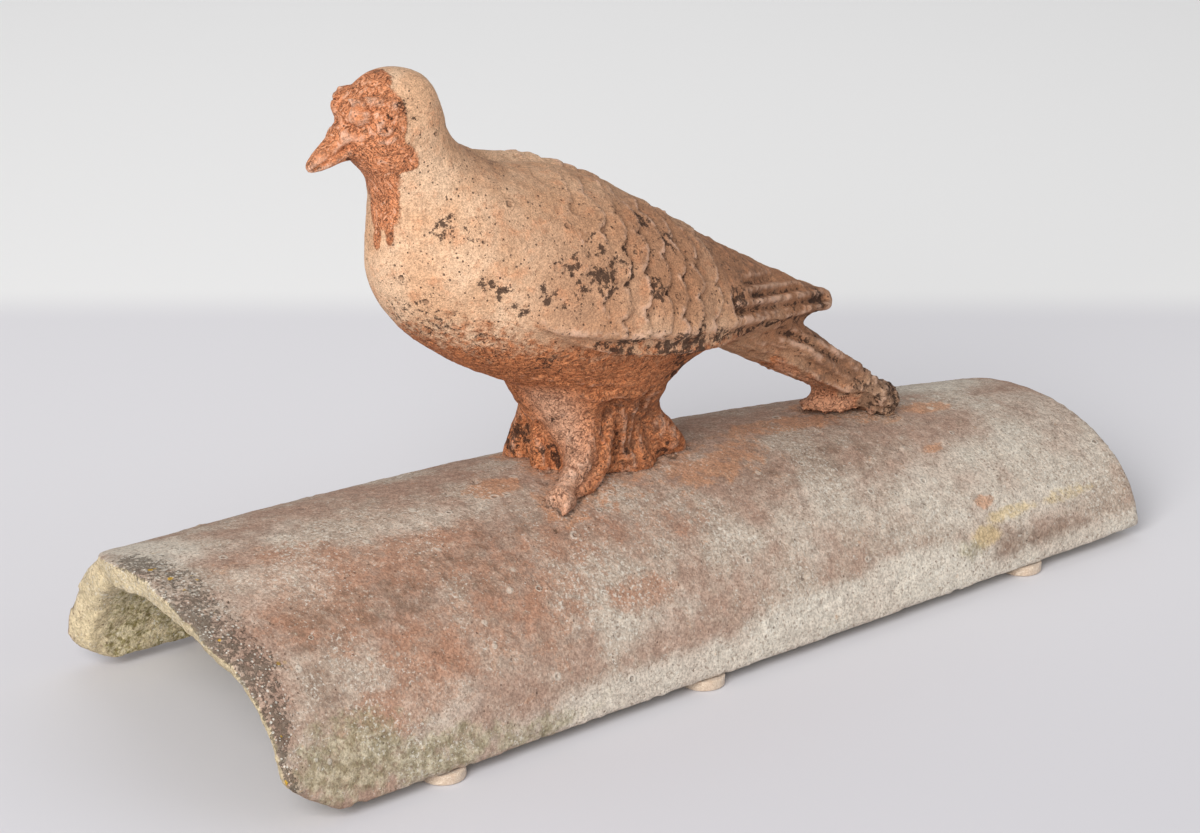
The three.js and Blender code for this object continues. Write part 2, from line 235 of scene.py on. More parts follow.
def other_side(marks):
    """The same marks on the bird's right side."""
    return [([(x, -y, z) for x, y, z in line], width, height) for line, width, height in marks]


def craters(piece, allowed, depth, count, smallest, largest, seed):
    """Small pits with raised rims at random vertices of those allowed, as heights."""
    chance = np.random.default_rng(seed)
    places = places_of(piece)
    tree = KDTree(len(places))
    for index, place in enumerate(places):
        tree.insert(place, index)
    tree.balance()
    heights = np.zeros(len(places))
    for index in chance.choice(np.flatnonzero(allowed), count):
        radius = chance.uniform(smallest, largest)
        deep = depth * chance.uniform(0.5, 1) * radius / largest
        for _, other, gap in tree.find_range(places[index], 1.8 * radius):
            share = gap / radius
            bowl = -deep * max(0, 1 - share * share)
            rim = 0.35 * deep * math.exp(-(((share - 1.15) / 0.28) ** 2))
            heights[other] += bowl + rim
    return heights


def store(piece, name, values):
    """Keeps a value for each vertex under a name that the materials read."""
    attribute = piece.data.attributes.new(name, "FLOAT", "POINT")
    attribute.data.foreach_set("value", np.clip(values, 0, 1).astype(np.float32))


def hollows(piece, net, rounds):
    """How deep each vertex lies below the surface round it, in millimetres."""
    places = places_of(piece)
    return ((net.relax(places, rounds) - places) * normals_of(piece)).sum(1)


def smooth_facets(piece, net, rounds, small, large, kept=0):
    """Rounds off a solid's flat facets and leaves its edges, and what is to be kept, sharp."""
    places = net.relax(places_of(piece), 4)
    change = np.linalg.norm(net.relax(places, 40) - places, axis=1)
    strength = 0.5 * (1 - ease(small, large, net.relax(change, 8))) * (1 - kept)
    put_places(piece, net.relax(places, rounds, strength))


def finish_piece(piece, material, slot, *nodes):
    """Gives a finished piece its material and its body, and hides the solids that it stands for."""
    only(piece)
    bpy.ops.object.shade_smooth()
    piece.data.materials.append(material)
    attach(piece, "root")
    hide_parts(*nodes)


# Materials


MIX_SHARE, MIX_FIRST, MIX_SECOND, MIX_RESULT = 0, 6, 7, 2  # a colour Mix node's sockets


class Tree:
    """A node tree in the making. Most calls add a node and return its output."""

    def __init__(self, tree):
        self.tree = tree

    def feed(self, socket, value):
        """Joins an output to the socket, or sets the socket's own value."""
        if isinstance(value, bpy.types.NodeSocket):
            self.tree.links.new(value, socket)
        elif socket.type == "RGBA":
            socket.default_value = (*value, 1)
        else:
            socket.default_value = value

    def node(self, kind, inputs, **settings):
        """Adds a node with these inputs and settings."""
        made = self.tree.nodes.new(kind)
        for name, value in settings.items():
            setattr(made, name, value)
        for name, value in inputs.items():
            self.feed(made.inputs[name], value)
        return made

    def math(self, operation, *values, clamp=False):
        inputs = dict(enumerate(values))
        return self.node("ShaderNodeMath", inputs, operation=operation, use_clamp=clamp).outputs[0]

    def times(self, first, second):
        return self.math("MULTIPLY", first, second)

    def add(self, first, second, share=1.0):
        """The first value and a share of the second one."""
        return self.math("MULTIPLY_ADD", second, share, first)

    def mix(self, share, first, second, kind="MIX"):
        inputs = {MIX_SHARE: share, MIX_FIRST: first, MIX_SECOND: second}
        made = self.node("ShaderNodeMix", inputs, data_type="RGBA", blend_type=kind)
        return made.outputs[MIX_RESULT]

    def paint(self, body, mask, share, shown):
        """The body's colour with another one laid over it by a share of the mask."""
        return self.mix(self.times(mask, share), body, shown)

    def ease(self, value, low, high, bottom=0.0, top=1.0):
        """The value read from low to high as bottom to top, with a smooth rise."""
        inputs = {"Value": value, "From Min": low, "From Max": high, "To Min": bottom, "To Max": top}
        made = self.node("ShaderNodeMapRange", inputs, interpolation_type="SMOOTHSTEP")
        return made.outputs["Result"]

    def scale(self, size):
        """The texture scale for lumps of that many millimetres, a number or an output."""
        if isinstance(size, bpy.types.NodeSocket):
            return self.math("DIVIDE", 1 / MM, size)
        return 1 / MM / size

    def clouds(self, where, size, detail=3.0, roughness=0.55, distortion=0.0):
        """Cloud noise with lumps of about that many millimetres."""
        inputs = {
            "Vector": where,
            "Scale": self.scale(size),
            "Detail": detail,
            "Roughness": roughness,
            "Distortion": distortion,
        }
        return self.node("ShaderNodeTexNoise", inputs).outputs["Fac"]

    def cells(self, where, size):
        """Distance from scattered points, in shares of their spacing, and each one's chances."""
        made = self.node("ShaderNodeTexVoronoi", {"Vector": where, "Scale": self.scale(size)})
        chances = self.node("ShaderNodeSeparateColor", {0: made.outputs["Color"]}).outputs
        return made.outputs["Distance"], chances

    def stretch(self, where, turn, scale):
        """The place turned and then stretched, for grain that runs one way."""
        turned = self.node("ShaderNodeMapping", {"Vector": where, "Rotation": turn})
        inputs = {"Vector": turned.outputs[0], "Scale": scale}
        return self.node("ShaderNodeMapping", inputs).outputs[0]

    def darken(self, shown, share):
        """The colour multiplied by a share."""
        grey = self.node("ShaderNodeCombineColor", {0: share, 1: share, 2: share}).outputs[0]
        return self.mix(1.0, shown, grey, "MULTIPLY")

    def value(self, name):
        """A value that the mesh keeps for each vertex."""
        return self.node("ShaderNodeAttribute", {}, attribute_name=name).outputs["Fac"]

    def group(self, make, where, **inputs):
        """Places a shared group, made the first time that it is asked for."""
        made = self.tree.nodes.new("ShaderNodeGroup")
        made.node_tree = bpy.data.node_groups.get(make.__name__) or make()
        self.feed(made.inputs["Vector"], where)
        for name, value in inputs.items():
            self.feed(made.inputs[name], value)
        return made.outputs

    def patch(self, where, name, size, reach, softness):
        """The mesh's value of that name as a mask with a ragged edge."""
        inputs = {"Mask": self.value(name), "Size": size, "Reach": reach, "Softness": softness}
        return self.group(ragged_edge, where, **inputs)["Mask"]

    def speckle(self, where, amount, size):
        """A mask of broken spots."""
        return self.group(speckle, where, Amount=amount, Size=size)["Mask"]

    def finish(self, shader, body, gloss, height, depth, strength=1.0):
        """Feeds the shader its colour, its gloss and a relief that deep in millimetres."""
        self.feed(shader.inputs["Base Color"], body)
        self.feed(shader.inputs["Specular IOR Level"], gloss)
        inputs = {"Height": height, "Strength": strength, "Distance": depth * MM}
        self.feed(shader.inputs["Normal"], self.node("ShaderNodeBump", inputs).outputs[0])


def new_group(name, inputs, outputs):
    """An empty shader group with float sockets, a Vector input, and its two end nodes."""
    tree = bpy.data.node_groups.new(name, "ShaderNodeTree")
    tree.interface.new_socket("Vector", in_out="INPUT", socket_type="NodeSocketVector")
    for title, default in inputs.items():
        socket = tree.interface.new_socket(title, in_out="INPUT", socket_type="NodeSocketFloat")
        socket.default_value = default
    for title in outputs:
        tree.interface.new_socket(title, in_out="OUTPUT", socket_type="NodeSocketFloat")
    entry = tree.nodes.new("NodeGroupInput")
    leave = tree.nodes.new("NodeGroupOutput")
    return Tree(tree), entry.outputs, leave.inputs


def ragged_edge():
    """A soft mask cut to a ragged edge by noise."""
    inputs = {"Mask": 0.5, "Size": 4.0, "Reach": 0.8, "Softness": 0.08}
    t, given, result = new_group("ragged_edge", inputs, ["Mask"])
    coarse = t.clouds(given["Vector"], given["Size"], detail=6, roughness=0.62)
    shifted = t.add(given["Mask"], t.math("SUBTRACT", coarse, 0.5), given["Reach"])
    low = t.math("SUBTRACT", 0.5, given["Softness"])
    high = t.math("ADD", 0.5, given["Softness"])
    t.feed(result["Mask"], t.ease(shifted, low, high))
    return t.tree


def speckle():
    """Broken dark spots whose cover grows with the amount."""
    t, given, result = new_group("speckle", {"Amount": 0.3, "Size": 2.0}, ["Mask"])
    grain = t.clouds(given["Vector"], given["Size"], detail=6, roughness=0.74)
    bar = t.math("SUBTRACT", 0.72, t.times(given["Amount"], 0.27))
    t.feed(result["Mask"], t.ease(grain, bar, t.math("ADD", bar, 0.06)))
    return t.tree


def fired_grit():
    """Sandy fired clay: a fine grain, scattered pores and the height of both."""
    outputs = ["Grain", "Pores", "Height"]
    t, given, result = new_group("fired_grit", {"Size": 1.0, "Pores": 0.3}, outputs)
    where = given["Vector"]
    fine = t.clouds(where, t.times(given["Size"], 1.1), detail=3, roughness=0.7)
    coarse = t.clouds(where, t.times(given["Size"], 4.0), detail=3, roughness=0.6)
    grain = t.add(t.times(fine, 0.7), coarse, 0.3)
    gap, chance = t.cells(where, t.times(given["Size"], 2.6))
    radius = t.times(t.math("SUBTRACT", given["Pores"], chance[0]), 0.75)
    inside = t.math("SUBTRACT", radius, t.add(gap, fine, 0.12))
    pores = t.ease(inside, -0.08, 0.02)
    t.feed(result["Grain"], t.ease(grain, 0.34, 0.66))
    t.feed(result["Pores"], pores)
    t.feed(result["Height"], t.math("SUBTRACT", grain, pores))
    return t.tree


def pock_marks():
    """Scattered round pits with raised rims: the pits, the rims and the height of both."""
    outputs = ["Pits", "Rims", "Height"]
    t, given, result = new_group("pock_marks", {"Size": 8.0, "Share": 0.4}, outputs)
    wobble = t.clouds(given["Vector"], 2.4, detail=2)
    gap, chance = t.cells(given["Vector"], given["Size"])
    radius = t.add(0.1, chance[1], 0.16)
    reach = t.add(t.math("SUBTRACT", gap, 0.07), wobble, 0.14)
    spread = t.math("DIVIDE", reach, radius)
    chosen = t.math("LESS_THAN", chance[0], given["Share"])
    pits = t.times(t.ease(spread, 0.95, 0.5), chosen)
    rims = t.times(t.ease(spread, 1.7, 1.2), t.math("SUBTRACT", chosen, pits, clamp=True))
    t.feed(result["Pits"], pits)
    t.feed(result["Rims"], rims)
    t.feed(result["Height"], t.math("SUBTRACT", t.times(rims, 0.55), pits))
    return t.tree


def start_material(name):
    """An empty material, its shader and the places on the piece."""
    material = bpy.data.materials.new(name)
    material.use_nodes = True
    t = Tree(material.node_tree)
    shader = material.node_tree.nodes["Principled BSDF"]
    where = t.node("ShaderNodeTexCoord", {}).outputs["Object"]
    return material, t, shader, where


def pigeon_material(look):
    """Buff and orange terracotta with a sooty tail, pores and black dirt, painted shade in hollows and
    behind feather tips, and a painted highlight on ridges.
    """
    material, t, shader, where = start_material("Pigeon terracotta")
    grit = t.group(fired_grit, where, Size=0.62, Pores=0.42)
    pocks = t.group(pock_marks, where, Size=7.0, Share=0.3)
    drift = t.clouds(where, 26, detail=3)
    blotch = t.clouds(where, 7, detail=5, roughness=0.65)
    body = t.mix(t.ease(drift, 0.38, 0.62), look.pale_clay, look.buff_clay)
    body = t.mix(t.value("tan"), body, look.tan_clay)
    body = t.mix(t.ease(blotch, 0.5, 0.7, 0, 0.5), body, look.warm_clay)

    # Bare orange clay, drawn out by the brush, with a cleaner face and a washed foot.
    streaks = t.clouds(t.stretch(where, (0, 0.25, 0), (0.16, 1, 1.1)), 1.1, detail=3, roughness=0.6)
    brushed = t.ease(streaks, 0.34, 0.66)
    orange = t.mix(brushed, look.deep_clay, look.bare_clay)
    orange = t.mix(t.value("face"), orange, t.mix(brushed, look.deep_face, look.face_clay))
    orange = t.mix(t.value("washed"), orange, look.washed_clay)
    bare = t.patch(where, "bare", size=4.0, reach=1.9, softness=0.3)
    body = t.mix(bare, body, orange)
    # Sooty brown, with painted shade in the groove behind each feather tip.
    soot_and_shade = t.patch(where, "soot_and_shade", size=3.0, reach=1.9, softness=0.25)
    body = t.paint(body, soot_and_shade, 0.62, look.soot_and_shade)
    body = t.darken(body, t.ease(grit["Grain"], 0, 1, 0.72, 1.22))

    # Dark curls and pale touches in the bare clay, fewer where it was smoothed.
    swirl = t.clouds(where, 5.2, detail=4, roughness=0.62, distortion=2.2)
    hairs = t.ease(t.math("ABSOLUTE", t.math("SUBTRACT", swirl, 0.53)), 0.028, 0.006)
    rough_share = t.math("SUBTRACT", 1.0, t.times(t.value("smooth"), 0.95))
    curls = t.times(t.times(hairs, bare), rough_share)
    body = t.paint(body, curls, 0.62, look.curl)
    lights = t.times(t.ease(swirl, 0.44, 0.36, 0, 0.38), bare)
    body = t.paint(body, lights, t.value("face"), look.light_clay)

    # Specks, pores, pits, worn ridges with a painted highlight, and black dirt with painted shade in the
    # hollows.
    specks = t.speckle(where, 0.6, size=1.0)
    body = t.paint(body, specks, t.times(rough_share, 0.68), look.speck)
    body = t.paint(body, grit["Pores"], 0.75, look.dirt_and_shade)
    body = t.paint(body, pocks["Pits"], 0.6, look.speck)
    # Paler clay on convex ridges: partly worn edges, partly a painted highlight.
    worn_and_highlit = t.times(t.value("ridge"), t.ease(blotch, 0.4, 0.6))
    body = t.paint(body, worn_and_highlit, 0.5, look.light_clay)
    # Black dirt, and painted shade that darkens the hollows.
    dirt_and_cavity_shade = t.speckle(where, t.add(t.value("dirt_and_shade"), t.value("hollow"), 0.5), size=2.6)
    body = t.paint(body, dirt_and_cavity_shade, 0.86, look.dirt_and_shade)
    t.feed(shader.inputs["Roughness"], t.add(0.82, dirt_and_cavity_shade, 0.15))

    height = t.add(grit["Height"], streaks, bare)
    for lump, share in ((curls, -0.8), (blotch, 1.5), (pocks["Height"], 1.0)):
        height = t.add(height, lump, share)
    t.finish(shader, body, 0.28, height, 0.75)
    return material


def tile_material(look):
    """Old roof clay under lime bloom, lichen, moss and smears of fresher clay, with painted shade in its
    hollows and painted light inside the arch.
    """
    material, t, shader, where = start_material("Weathered tile clay")
    grit = t.group(fired_grit, where, Size=1.0, Pores=0.26)
    pocks = t.group(pock_marks, where, Size=6.0, Share=0.1)
    drift = t.clouds(where, 40, detail=5, roughness=0.65)
    blotch = t.clouds(where, 12, detail=7, roughness=0.72)
    mottle = t.clouds(where, 4.5, detail=5, roughness=0.7)
    body = t.mix(t.ease(drift, 0.4, 0.6), look.old_clay, look.grey_clay)
    body = t.paint(body, t.patch(where, "rust", 11.0, 2.4, 0.3), 0.62, look.rust)
    body = t.paint(body, t.patch(where, "rust", 5.0, 3.4, 0.1), 0.35, look.warm_rust)
    body = t.paint(body, t.patch(where, "brown", 7.0, 2.2, 0.35), 0.6, look.brown)
    body = t.mix(t.ease(blotch, 0.46, 0.7, 0, 0.4), body, look.grey_clay)
    body = t.mix(t.ease(mottle, 0.55, 0.75, 0, 0.3), body, look.lime)
    body = t.paint(body, t.patch(where, "lime", 16.0, 1.2, 0.5), 0.66, look.lime)
    body = t.paint(body, t.patch(where, "yellow", 5.0, 1.6, 0.3), 0.5, look.ochre)
    green = t.mix(t.ease(mottle, 0.38, 0.62), look.dark_moss, look.pale_moss)
    body = t.paint(body, t.patch(where, "moss", 6.0, 1.9, 0.3), 0.8, green)

    # The hollow's moss and clay, made paler as painted light, the broken ends and the smears of fresher
    # clay.
    tufts = t.clouds(where, 2.6, detail=5, roughness=0.7)
    inner = t.mix(t.ease(tufts, 0.4, 0.58), look.inner_moss, look.inner_clay)
    inner = t.mix(t.ease(blotch, 0.5, 0.64, 0, 0.7), inner, look.rim)
    body = t.mix(t.value("inner"), body, inner)
    body = t.paint(body, t.patch(where, "rim", 4.0, 1.2, 0.2), 0.85, look.rim)
    body = t.paint(body, t.patch(where, "smear", 5.0, 1.9, 0.22), 0.6, look.smear)
    body = t.darken(body, t.ease(grit["Grain"], 0, 1, 0.76, 1.2))
    body = t.darken(body, t.ease(mottle, 0.34, 0.66, 0.92, 1.07))

    # White specks, pits and pores, and brown specks whose pattern is turned to fall elsewhere.
    chalk = t.speckle(where, t.ease(drift, 0.4, 0.62, 0.42, 0.72), size=1.4)
    body = t.paint(body, chalk, 0.6, look.white_lichen)
    pricks = t.speckle(t.stretch(where, (0.5, 0.4, 0.3), (1, 1, 1)), 0.66, size=1.3)
    body = t.paint(body, pricks, 0.6, look.brown)
    body = t.paint(body, pocks["Pits"], 0.3, look.brown)
    body = t.paint(body, pocks["Rims"], 0.4, look.lime)
    body = t.paint(body, grit["Pores"], 0.6, look.brown)

    # Dark lichen crust with white and yellow spots, and dirt over all, with painted shade darkening the
    # hollows.
    lichen = t.value("lichen")
    crust = t.speckle(where, t.times(lichen, 1.25), size=2.0)
    body = t.paint(body, crust, 0.7, look.lichen)
    thick = t.ease(lichen, 0.3, 0.8, 0, 0.85)
    for size, share, shown in ((1.3, 0.3, look.white_lichen), (2.8, 0.05, look.yellow_lichen)):
        gap, chance = t.cells(where, size)
        edge = t.add(gap, t.math("SUBTRACT", mottle, 0.5), 1.2)
        spots = t.times(t.ease(edge, 0.4, 0.26), t.math("LESS_THAN", chance[0], share))
        body = t.paint(body, spots, thick, shown)
    # Dirt, and painted shade that darkens the hollows.
    dirt_and_cavity_shade = t.speckle(where, t.add(t.value("dirt_and_shade"), t.value("hollow"), 0.7), size=2.0)
    body = t.paint(body, dirt_and_cavity_shade, 0.7, look.dirt_and_shade)
    shader.inputs["Roughness"].default_value = 0.93

    height = grit["Height"]
    for lump, share in ((mottle, 1.1), (crust, 0.5), (blotch, 1.6), (pocks["Height"], 0.7)):
        height = t.add(height, lump, share)
    t.finish(shader, body, 0.22, height, 0.6)
    return material


def felt_material(look):
    """Pale pressed felt: crossing fibres, loose fuzz and a little clay dust."""
    material, t, shader, where = start_material("Felt")
    ways = ((0.3, 0.2, 0.9), (0.9, 1.1, 0.2))
    crossing = [
        t.clouds(t.stretch(where, way, (0.1, 1, 1)), 0.35, detail=3, distortion=0.4) for way in ways
    ]
    fibres = t.math("MAXIMUM", *crossing)
    body = t.mix(t.ease(fibres, 0.45, 0.7), look.felt_shadow, look.felt)
    dust = t.group(ragged_edge, where, Mask=0.35, Size=3.0, Reach=1.0, Softness=0.2)["Mask"]
    body = t.paint(body, dust, 0.5, look.dust)
    shader.inputs["Roughness"].default_value = 0.98
    shader.inputs["Sheen Weight"].default_value = 0.4
    t.finish(shader, body, 0.1, fibres, 0.25, strength=0.6)
    return material


# The tile


def turn_of(places):
    """Degrees round the arch at each place: 0 at the near long edge, 90 at the crest."""
    return np.degrees(np.arctan2(places[:, 2], -places[:, 1]))


def along_and_round(places, patches):
    """How far each place lies in soft patches of (x, turn, reach along, reach round, strength)."""
    turn = turn_of(places)
    most = np.zeros(len(places))
    for x, angle, reach_along, reach_round, strength in patches:
        gap = np.hypot((places[:, 0] - x) / reach_along, (turn - angle) / reach_round)
        most = np.maximum(most, strength * (1 - ease(0.35, 1.35, gap)))
    return most


def from_wide_end(places):
    """Distance along the ridge from the wide end's rim, which runs further out at the crest."""
    turn = np.clip(turn_of(places), 0, 180)
    slices = np.round(turn / 4).astype(int)
    rim = np.full(slices.max() + 1, np.inf)
    np.minimum.at(rim, slices, places[:, 0])
    known = np.flatnonzero(np.isfinite(rim))
    return places[:, 0] - np.interp(turn / 4, known, rim[known])


# Patches on the tile's outside: x, turn, reach along, reach round, strength.
RUST_PATCHES = [
    (-190, 60, 34, 26, 0.85),
    (-160, 30, 26, 16, 0.8),
    (-140, 60, 44, 16, 0.7),
    (-110, 38, 40, 22, 0.62),
    (-56, 30, 20, 6, 0.85),
    (-75, 52, 40, 14, 0.55),
    (-20, 50, 26, 10, 0.45),
    (-185, 20, 24, 8, 0.8),
]
BROWN_PATCHES = [
    (-198, 50, 20, 14, 0.6),
    (-208, 30, 10, 9, 0.75),
    (-165, 48, 30, 10, 0.6),
    (-128, 52, 36, 12, 0.5),
    (-95, 62, 30, 8, 0.5),
    (78, 58, 34, 12, 0.5),
    (30, 60, 24, 14, 0.5),
    (150, 9, 20, 5, 1.1),
    (178, 8, 18, 5, 0.9),
    (190, 62, 22, 14, 0.3),
]
YELLOW_PATCHES = [(130, 15, 10, 4, 1), (148, 20, 18, 3, 0.8), (185, 20, 20, 3, 0.6)]
LIME_PATCHES = [
    (-50, 4, 90, 8, 0.95),
    (40, 7, 70, 9, 1.2),
    (-60, 22, 40, 9, 0.3),
    (-225, 100, 20, 20, 0.6),
    (-190, 92, 30, 10, 0.35),
    (90, 9, 46, 10, 1.2),
    (160, 22, 50, 9, 0.8),
    (150, 34, 90, 26, 0.62),
    (200, 50, 50, 40, 0.55),
    (20, 32, 60, 12, 0.32),
    (60, 40, 50, 14, 0.42),
    (-228, 120, 14, 40, 0.8),
    (-120, 74, 40, 6, 0.45),
    (-160, 18, 24, 8, 0.35),
    (-205, 66, 30, 16, 0.4),
    (0, 140, 200, 26, 0.55),
    (180, 120, 50, 30, 0.6),
]
MOSS_PATCHES = [
    (-205, 12, 34, 13, 0.8),
    (-165, 6, 36, 7, 0.75),
    (-120, 4, 34, 4, 0.6),
    (-200, 150, 60, 30, 0.6),
    (-60, 172, 120, 10, 0.6),
    (118, 12, 10, 4, 0.5),
]
SMEARS = [
    (-84, 83, 16, 7, 0.95),
    (-40, 74, 32, 16, 0.62),
    (10, 66, 30, 10, 0.7),
    (34, 72, 16, 12, 0.6),
    (72, 84, 50, 9, 0.7),
    (118, 82, 20, 10, 0.7),
    (150, 80, 17, 7, 0.92),
    (136, 26, 7, 3, 0.9),
    (128, 52, 10, 3, 0.7),
]
# How many pits and lumps, their radii and the seeds of their chances.
TILE_PITS = {"count": 420, "smallest": 1.6, "largest": 3.6, "seed": 11}
TILE_LUMPS = {"count": 120, "smallest": 2.0, "largest": 4.2, "seed": 12}


def shape_tile(piece, look):
    """The wavy, pitted and nibbled surface of the tile."""
    net = Net(piece)
    smooth_facets(piece, net, 60, 0.35, 0.8)
    places = places_of(piece)
    outside = outside_of(piece, places)
    edges = ease(0.5, 1.6, net.relax(-hollows(piece, net, 12), 6))
    waves = 0.45 * clouds(places, (60, 42, 42), 2, 1)
    rough = 0.16 * clouds(places, 7, 3, 2)
    moss = (1 - outside) * 0.7 * clouds(places, 4.5, 3, 3)
    nibbles = -look.chips / MM * edges * (0.5 + clouds(places, 9, 3, 4))
    push_out(piece, waves + rough + moss + nibbles)
    depth = look.pit_depth / MM
    pits = craters(piece, outside > 0.9, depth, **TILE_PITS)
    lumps = craters(piece, outside > 0.9, -0.4 * depth, **TILE_LUMPS)
    push_out(piece, pits + lumps)


def outside_of(piece, places):
    """1 where the surface faces away from the arch's hollow, 0 where it faces it."""
    radial = np.stack([0 * places[:, 0], places[:, 1], places[:, 2]], 1)
    radial /= np.linalg.norm(radial, axis=1, keepdims=True)
    facing = (normals_of(piece) * radial).sum(1)
    return ease(-0.3, 0.3, facing)


def paint_tile(piece, net, bird):
    """The values that the tile's material reads."""
    places = places_of(piece)
    normals = normals_of(piece)
    outside = outside_of(piece, places)
    x, y, z = places.T
    turn = turn_of(places)
    end_gap = from_wide_end(places)
    depth = hollows(piece, net, 10)
    from_crest = np.abs(turn - 90) / 90
    faces_end = ease(0.55, 0.85, np.abs(normals[:, 0])) * (1 - ease(0.75, 0.95, from_crest))
    store(piece, "rust", outside * along_and_round(places, RUST_PATCHES))
    store(piece, "brown", outside * along_and_round(places, BROWN_PATCHES))
    bottom = 0.9 * (1 - ease(3, 15, z)) * ease(-110, -20, x)
    store(piece, "lime", outside * np.maximum(along_and_round(places, LIME_PATCHES), bottom))
    store(piece, "moss", outside * along_and_round(places, MOSS_PATCHES))
    reach = 8 + 26 * ease(14, 40, turn)  # the crust is wider up the flank than at the corner
    band = (1 - ease(0.3, 1, end_gap / reach)) * ease(2, 10, turn) * (1 - ease(98, 114, turn))
    store(piece, "lichen", outside * band * (0.75 + 0.25 * clouds(places, 14, 2, 5)))
    store(piece, "yellow", outside * along_and_round(places, YELLOW_PATCHES))
    store(piece, "inner", 1 - outside)
    inner_rim = (1 - outside) * (1 - ease(3, 16, end_gap))
    store(piece, "rim", np.maximum(faces_end, inner_rim))
    tree = BVHTree.FromObject(bird, bpy.context.evaluated_depsgraph_get())
    gaps = np.full(len(places), FAR_OFF)
    below_bird = (outside > 0.5) & (z > 35) & (np.abs(x - 35) < 130)
    for index in np.flatnonzero(below_bird):
        gaps[index] = tree.find_nearest(piece.data.vertices[index].co)[3] / MM
    near = 1 - ease(1, 13, gaps)
    store(piece, "smear", outside * np.maximum(along_and_round(places, SMEARS), 0.6 * near))
    store(piece, "dirt_and_shade", outside * (0.1 + 0.75 * (1 - ease(0.5, 7, gaps))) + (1 - outside) * 0.2)
    # Painted shade: how deep each vertex lies in a hollow, which the material darkens.
    store(piece, "hollow", ease(0.1, 0.5, depth))


# The pigeon


WING_SLOPE = math.radians(-18.6)  # the wing's length runs down towards the tail
ROW = 10.0  # spacing of the rows of covert feathers
COVERT = 13.0  # width of one covert feather
ROUND_TIP = 6.8  # radius of a covert's tip
COVERTS_FROM, COVERTS_TO = -78, 10  # where the coverts start and end along the ridge
WANDER = 24  # size of the lumps by which the rows stray
BIRD_PITS = {"count": 900, "smallest": 1.1, "largest": 2.4, "seed": 21}
PITS_ABOVE = 66  # no pits below this height
TAIL_ALONG, TAIL_DOWN = 0.875, 0.485  # the tail's way, as shares of x and of -z

# Where the orange face ends at each height: height, x.
FACE_EDGE = [
    (196, -131),
    (203, -128),
    (213, -129),
    (216, -122.5),
    (221, -123),
    (227, -129),
    (238, -126.5),
    (246, -129.5),
    (252, -126),
]
THROAT_RUNS = [
    ([(-131, -3, 214), (-132, -3, 197)], 10),
    ([(-132, -1, 200), (-134, -1, 183)], 3.4),
    ([(-131, -8, 200), (-132, -8, 186)], 2.8),
]
# Soft spots on the bird: x, y, z, radius, strength.
DIRT_SPOTS = [
    (-114, -24, 193, 6.5, 0.9),
    (-105, -28, 189, 5, 0.6),
    (-119, -21, 188, 4, 0.6),
    (-101, -33, 168, 5, 0.9),
    (-97, -36, 163, 5, 0.9),
    (-90, -36, 157, 5, 0.7),
    (-124, -14, 158, 12, 0.5),
    (-66, -38, 118, 12, 0.75),
    (-30, -40, 118, 10, 0.5),
    (-6, -30, 118, 10, 0.8),
    (-69, -43, 172.5, 7, 0.95),
    (-81, -44, 162.5, 6, 0.8),
    (-67, -47, 162, 6.5, 0.85),
    (-56, -47, 166, 8, 1.0),
    (-56, -41, 176, 6.5, 0.85),
    (-45.5, -45, 168.5, 7, 0.85),
    (-32, -50, 158.5, 6, 0.85),
    (-27, -30, 181, 6, 0.95),
    (-16, -35, 170.5, 6.5, 0.8),
    (-50, -44, 168, 24, 0.42),
    (-15, -40, 165, 24, 0.4),
    (-74, -46, 155, 14, 0.4),
    (16, -41, 141, 9, 0.9),
    (34, -36, 138, 9, 0.6),
    (82, -13, 119, 8, 0.9),
    (-53, -50, 133, 12, 0.95),
    (-18, -50, 129, 15, 1.0),
    (-72, -38, 122, 9, 0.85),
    (-60, -34, 112, 7, 0.6),
    (0, -22, 112, 12, 0.85),
    (4, -14, 98, 8, 0.9),
    (-53, 14, 80, 9, 0.95),
    (-46, -2, 74, 7, 0.95),
    (-120, -12, 150, 22, 0.6),
    (-100, -28, 138, 18, 0.5),
    (-138, -3, 225, 4, 0.7),
    (-124, -12, 238, 5, 0.7),
    (-128, -14, 226, 6, 0.5),
    (-143, -4, 222, 5, 0.8),
    (128, -8, 64, 14, 0.85),
    (112, -6, 84, 12, 0.6),
]
# Grooves along the tail.
TAIL_UPPER = [
    (58, -18, 112),
    (76.4, -16, 103.6),
    (88.6, -15, 94),
    (100.6, -14.6, 84.6),
    (112, -15.5, 73),
]
TAIL_LOWER = [(52, -17, 106), (68, -16, 98), (84, -15, 88), (98, -14.5, 78)]
TAIL_TOP = [(72, -14, 112), (88, -10, 102), (104, -8, 89), (116, -8, 78)]
